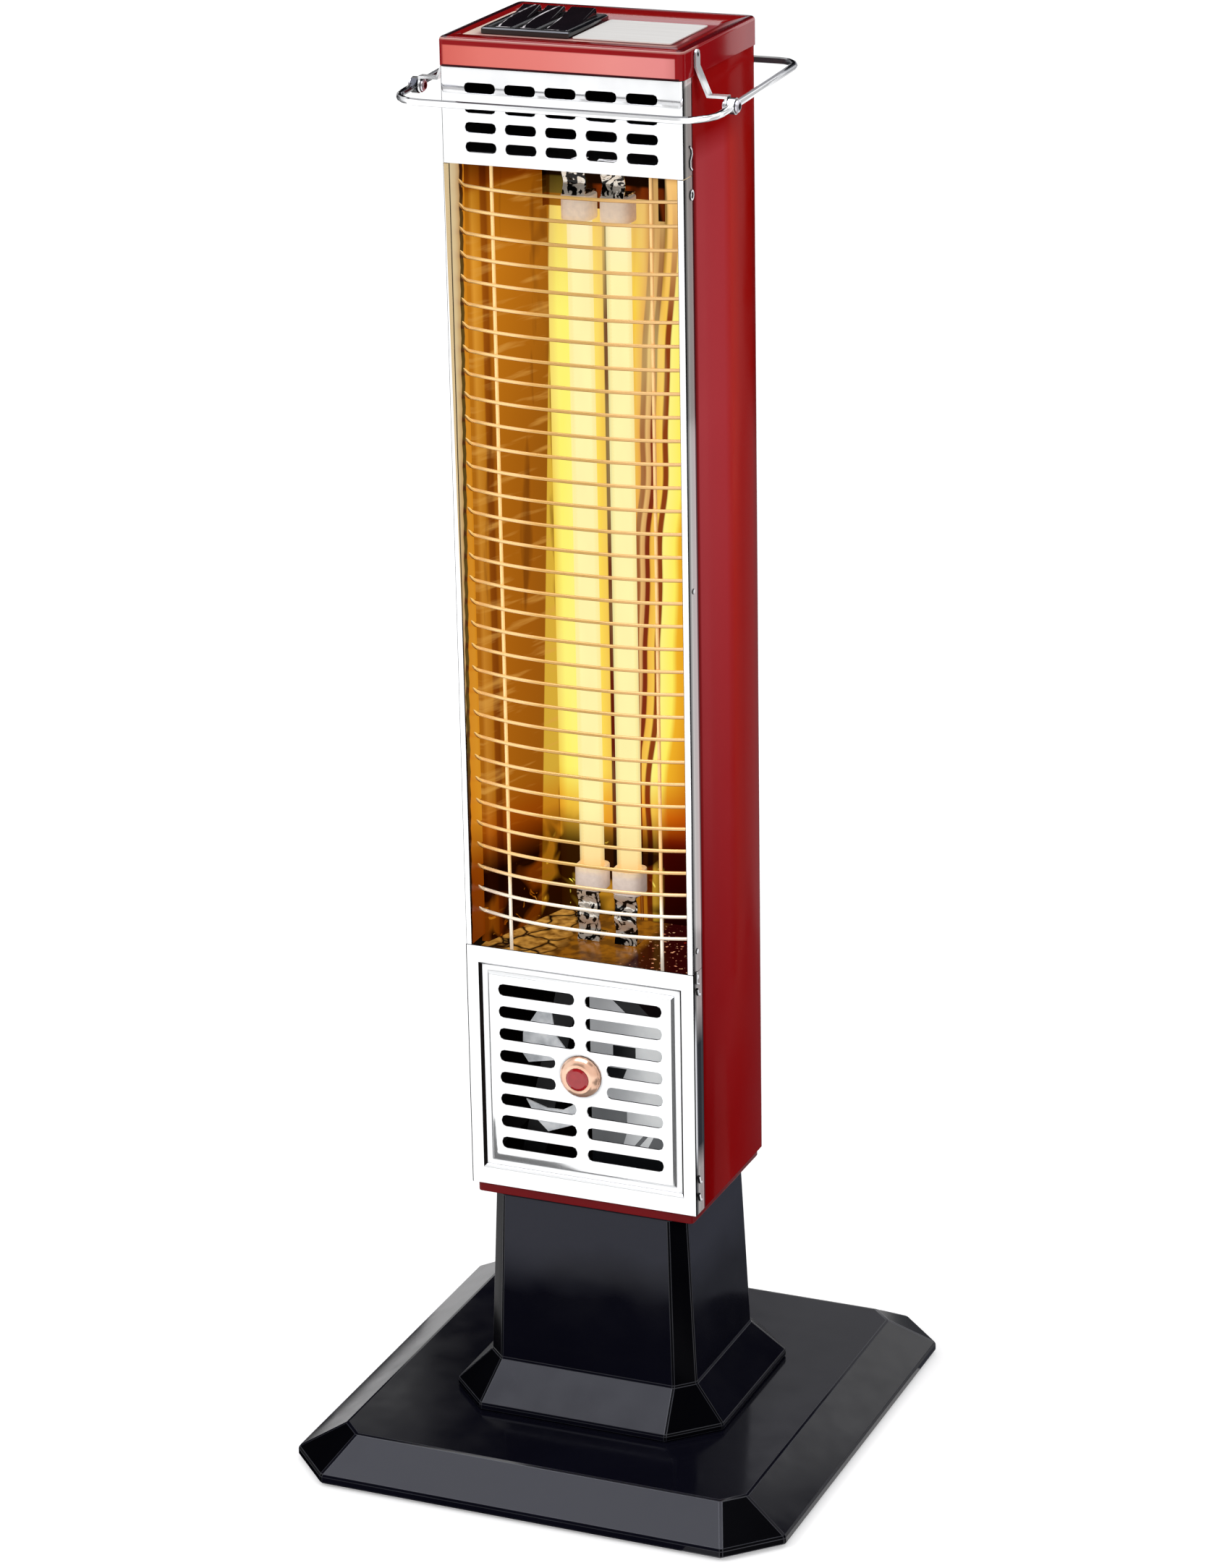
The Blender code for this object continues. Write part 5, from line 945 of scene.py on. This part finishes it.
# The boss is painted dark red towards its foot as painted shade.
rim = add(tree, "Mix", add(tree, "MapRange", place(tree)[2], *BADGE_SHADE, 1.0, 0.0), "#F2CBB0",
          "#8A1E10")
feed(shader, add(tree, "Mix", grain(tree, 0.01, span=(0.3, 0.7, 0.0, 0.5)), rim, "#D8906C"))
red_lacquer = mottled("enamel_fired_red", 0.004, "#8E0E16", "#B01C24", Roughness=0.15,
                      Coat_Weight=0.5)
recast("badge_boss", "copper_boss", copper)
recast("badge_disc", "red_disc", red_lacquer)


# Switches and plate
# Three glossy ABS rockers in a glossy bezel, and a bare satin aluminium plate beside them.
BEZEL_EDGE = 0.0003
ROCKER_EDGE = 0.0004
ROCKER_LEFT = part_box("rocker_left")[0].x
ROCKER_PITCH = (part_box("rocker_right")[0].x - ROCKER_LEFT) / 2
ARC_BEND, ARC_MIDDLE, ARC_START, ARC_HALF = 12.0, -0.010, 0.0014, 0.0006
SHINE_FRONT, SHINE_WIDTH, SHINE_LAST = -0.0225, 0.010, -0.021

abs_polished = mottled("abs_moulded_mirror_black", 0.02, "#060608", "#0D0D10", Roughness=0.06,
                       Specular_IOR_Level=0.5)
recast("switch_bezel", "glossy_bezel", abs_polished, BEZEL_EDGE)
rocker_painted_highlights, tree, shader = principled("abs_moulded_mirror_black_rocker_painted_highlights", Roughness=0.06,
                                        Specular_IOR_Level=0.5, Emission_Strength=0.8)
x, y, z = place(tree)
feed(shader, add(tree, "Mix", grain(tree, 0.02), "#0A0609", "#1A1216"))
# Arcs and front strips of painted highlight glow on the rockers.
across = add(tree, "Math MODULO", add(tree, "Math SUBTRACT", x, ROCKER_LEFT), ROCKER_PITCH)
from_middle = add(tree, "Math SUBTRACT", y, ARC_MIDDLE)
bow = add(tree, "Math MULTIPLY", add(tree, "Math MULTIPLY", from_middle, from_middle), ARC_BEND)
arc = add(tree, "Math COMPARE", across, add(tree, "Math ADD", bow, ARC_START), ARC_HALF)
arc = add(tree, "Math MULTIPLY", arc, add(tree, "Math LESS_THAN", x, SHINE_LAST))
front = add(tree, "Math MULTIPLY", add(tree, "Math LESS_THAN", y, SHINE_FRONT),
            add(tree, "Math LESS_THAN", across, SHINE_WIDTH))
shines = add(tree, "Math MULTIPLY", add(tree, "Math MAXIMUM", arc, front),
             grain(tree, 0.006, span=(0.4, 0.55, 0.1, 1.0)))
feed(shader, add(tree, "Mix", shines, "#000000", "#E8E2E6"), "Emission Color")
for hand in ("left", "middle", "right"):
    recast("rocker_" + hand, "glossy_rocker_" + hand, rocker_painted_highlights, ROCKER_EDGE)
nylon = mottled("nylon_moulded_black", 0.002, "#0C0C0D", "#161617", Roughness=0.5)
dress(nylon, "switch_body")
satin, tree, shader = principled("aluminium_satin_sheet", Metallic=0.35, Roughness=0.4)
feed(shader, add(tree, "Mix", grain(tree, 0.001, 2.0, (0.02, 1, 1)), "#D4D1CC", "#ECEAE6"))
dress(satin, "rating_plate")


# Handle
# A bent and chromed steel rod, flattened and pierced where a rivet pins it to a folded strap
# on each side of the cap.
chrome, tree, shader = principled("steel_rod_chrome_plated", Metallic=0.6, Roughness=0.06,
                                  Emission_Strength=0.25)
# The rod's colour carries painted reflections that also glow: dark along its undersides and tops,
# white along its middle, dark on the left arm and towards the rear, with painted shade in its
# crevices.
facing = place(tree, "NewGeometry", "Normal")[2]
lined = banded(tree, facing, (
    (-1000, "#2A2B30"), (-680, "#2A2B30"), (-480, "#F4F5F6"), (820, "#F4F5F6"), (900, "#202126"),
    (1000, "#202126")))
x, y, z = place(tree)
arm = add(tree, "Mix", add(tree, "MapRange", x, -0.084, -0.076),
          banded(tree, y, ((-74, "#FFFFFF"), (-66, "#4A4B50"), (-50, "#2A2B30"), (66, "#2A2B30"))),
          banded(tree, y, ((-74, "#FFFFFF"), (0, "#FFFFFF"), (40, "#6A6B70"), (66, "#3A3B40"))))
lined = add(tree, "Mix MULTIPLY", 1.0, lined, arm)
lined = add(tree, "Mix", crevices(tree, CREVICE), "#1A1B20", lined)
feed(shader, lined, "Base Color", "Emission Color")
recast("carry_handle", "chromed_handle", chrome)
strap_plating, tree, shader = principled("steel_strap_nickel_plated", Metallic=0.55,
                                         Roughness=0.15)
# Its crevices are painted dark as painted shade.
feed(shader, add(tree, "Mix", crevices(tree, CREVICE), "#1A1B20", "#F6F7F8"))
blacked = mottled("mild_steel_head_blacked", 0.001, "#0B0B0D", "#242428", Metallic=0.6,
                  Roughness=0.35)

# Small plated clips and screw heads hold the folded edges of the front sheets at the right.
SIDE_X = 0.0700
UPPER_CLIP = ((-45.4, 776), (-43.2, 774), (-42.6, 771.5), (-45.2, 768), (-45.0, 765), (-42.8, 763))
LOWER_CLIPS = (
    (((-50.2, 307.5), (-50.4, 300.5), (-47.0, 299.0)), 0.0007),
    (((-50.4, 297), (-49.0, 293.5), (-46.6, 292.5)), 0.0010),
    (((-51.0, 182), (-49.6, 178), (-47.4, 177)), 0.0010),
    (((-51.0, 171), (-49.6, 167), (-47.4, 166)), 0.0010))
SCREW_HEADS = ((-0.0433, 0.7495, 0.0011), (-0.0466, 0.530, 0.0016), (-0.0478, 0.319, 0.0018),
               (-0.0483, 0.3035, 0.0020))


def turned(profile, centre, sides=16):
    """A turned head standing on the side: centre + (out, radius * cos(angle), radius * sin(angle))
    for each pair of radius and out, with a flat cap on each end."""
    radius, out = np.array(profile).T
    angle = np.linspace(0, math.tau, sides, endpoint=False)
    rings = np.stack(np.broadcast_arrays(out[:, None], radius[:, None] * np.cos(angle),
                                         radius[:, None] * np.sin(angle)), -1) + np.array(centre)
    index = np.arange(len(radius) * sides).reshape(-1, sides)
    here, ahead = index[:-1], index[1:]
    quads = np.stack([here, np.roll(here, -1, 1), np.roll(ahead, -1, 1), ahead], -1)
    return rings.reshape(-1, 3), (quads.reshape(-1, 4).tolist() + [index[0, ::-1].tolist()]
                                  + [index[-1].tolist()])


def domed(y, z, radius, x=SIDE_X, rise=0.6):
    """A domed screw head of the given radius at (y, z), standing on the plane x."""
    turn = np.linspace(0, math.radians(80), 6)
    profile = np.stack([radius * np.cos(turn), rise * radius * np.sin(turn)], -1)
    return turned(profile, (x, y, z))


def bent_wire(points, wire=0.0007, looped=False):
    """A bent wire lying on the side: a smooth path through (y, z) points in millimetres."""
    rough = np.array(points, float) / 1000
    rough = np.vstack([rough, rough[:1]]) if looped else rough
    at = np.linspace(0, len(rough) - 1, (len(rough) - 1) * 6 + 1)
    smooth = np.stack([np.interp(at, np.arange(len(rough)), rough[:, k]) for k in (0, 1)], -1)
    smooth = smooth[:-1] if looped else smooth
    path = np.insert(smooth, 0, SIDE_X + wire * 0.8, 1)
    return swept(path[None], (wire, wire), 8, up=(1.0, 0.0, 0.0), looped=looped)


outlined, tree, shader = principled("steel_wire_plated_painted_dark_sides", Metallic=0.3, Roughness=0.2)
# Faces not turned outwards along +X are painted near black as painted shade.
facing = place(tree, "NewGeometry", "Normal")[0]
feed(shader, add(tree, "Mix", add(tree, "MapRange", facing, 0.72, 0.82), "#0C0C0E", "#F4F4F6"))
ring_angle = np.linspace(0, math.tau, 12, endpoint=False)
ring_points = np.stack([-43.3 + 2.0 * np.cos(ring_angle), 749.5 + 2.4 * np.sin(ring_angle)], -1)
piece("clips_on_right_edge", *together(
    bent_wire(UPPER_CLIP), bent_wire(ring_points, looped=True),
    *(domed(*head) for head in SCREW_HEADS), *(bent_wire(*clip) for clip in LOWER_CLIPS)),
    outlined, [], slot="right_stile", body="tower")
strap_low, strap_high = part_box("handle_bracket_right")
PAD_RADIUS = (strap_high.y - strap_low.y) / 2
PAD_SCREW = 0.00115
right_screw = domed((strap_low.y + strap_high.y) / 2, strap_high.z - PAD_RADIUS, PAD_SCREW,
                    strap_low.x, 1.0)
left_screw = (right_screw[0] * np.array([-1, 1, 1]), [face[::-1] for face in right_screw[1]])
piece("black_screws_in_straps", *together(right_screw, left_screw), blacked, [],
      slot="handle_bracket_right", body="tower")
rivet_low, rivet_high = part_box("handle_rivet_right")
RIVET_EYE = 0.0016
STRAP_EDGE = 0.0003
riveted, tree, shader = principled("steel_rivet_nickel_plated", Metallic=0.55, Roughness=0.15)
x, y, z = place(tree)
# The rivet's middle is painted near black as painted shade, ringed by bright plating.
off_y = add(tree, "Math SUBTRACT", y, (rivet_low.y + rivet_high.y) / 2)
off_z = add(tree, "Math SUBTRACT", z, (rivet_low.z + rivet_high.z) / 2)
off_axis = add(tree, "Math SQRT", add(tree, "Math ADD", add(tree, "Math MULTIPLY", off_y, off_y),
                                      add(tree, "Math MULTIPLY", off_z, off_z)))
feed(shader, add(tree, "Mix", add(tree, "MapRange", off_axis, RIVET_EYE, RIVET_EYE + 0.0003),
                 "#241420", "#E8E4EC"))
for hand in ("left", "right"):
    recast("handle_bracket_" + hand, "chromed_strap_" + hand, strap_plating, STRAP_EDGE)
    recast("handle_rivet_" + hand, "steel_rivet_" + hand, riveted)
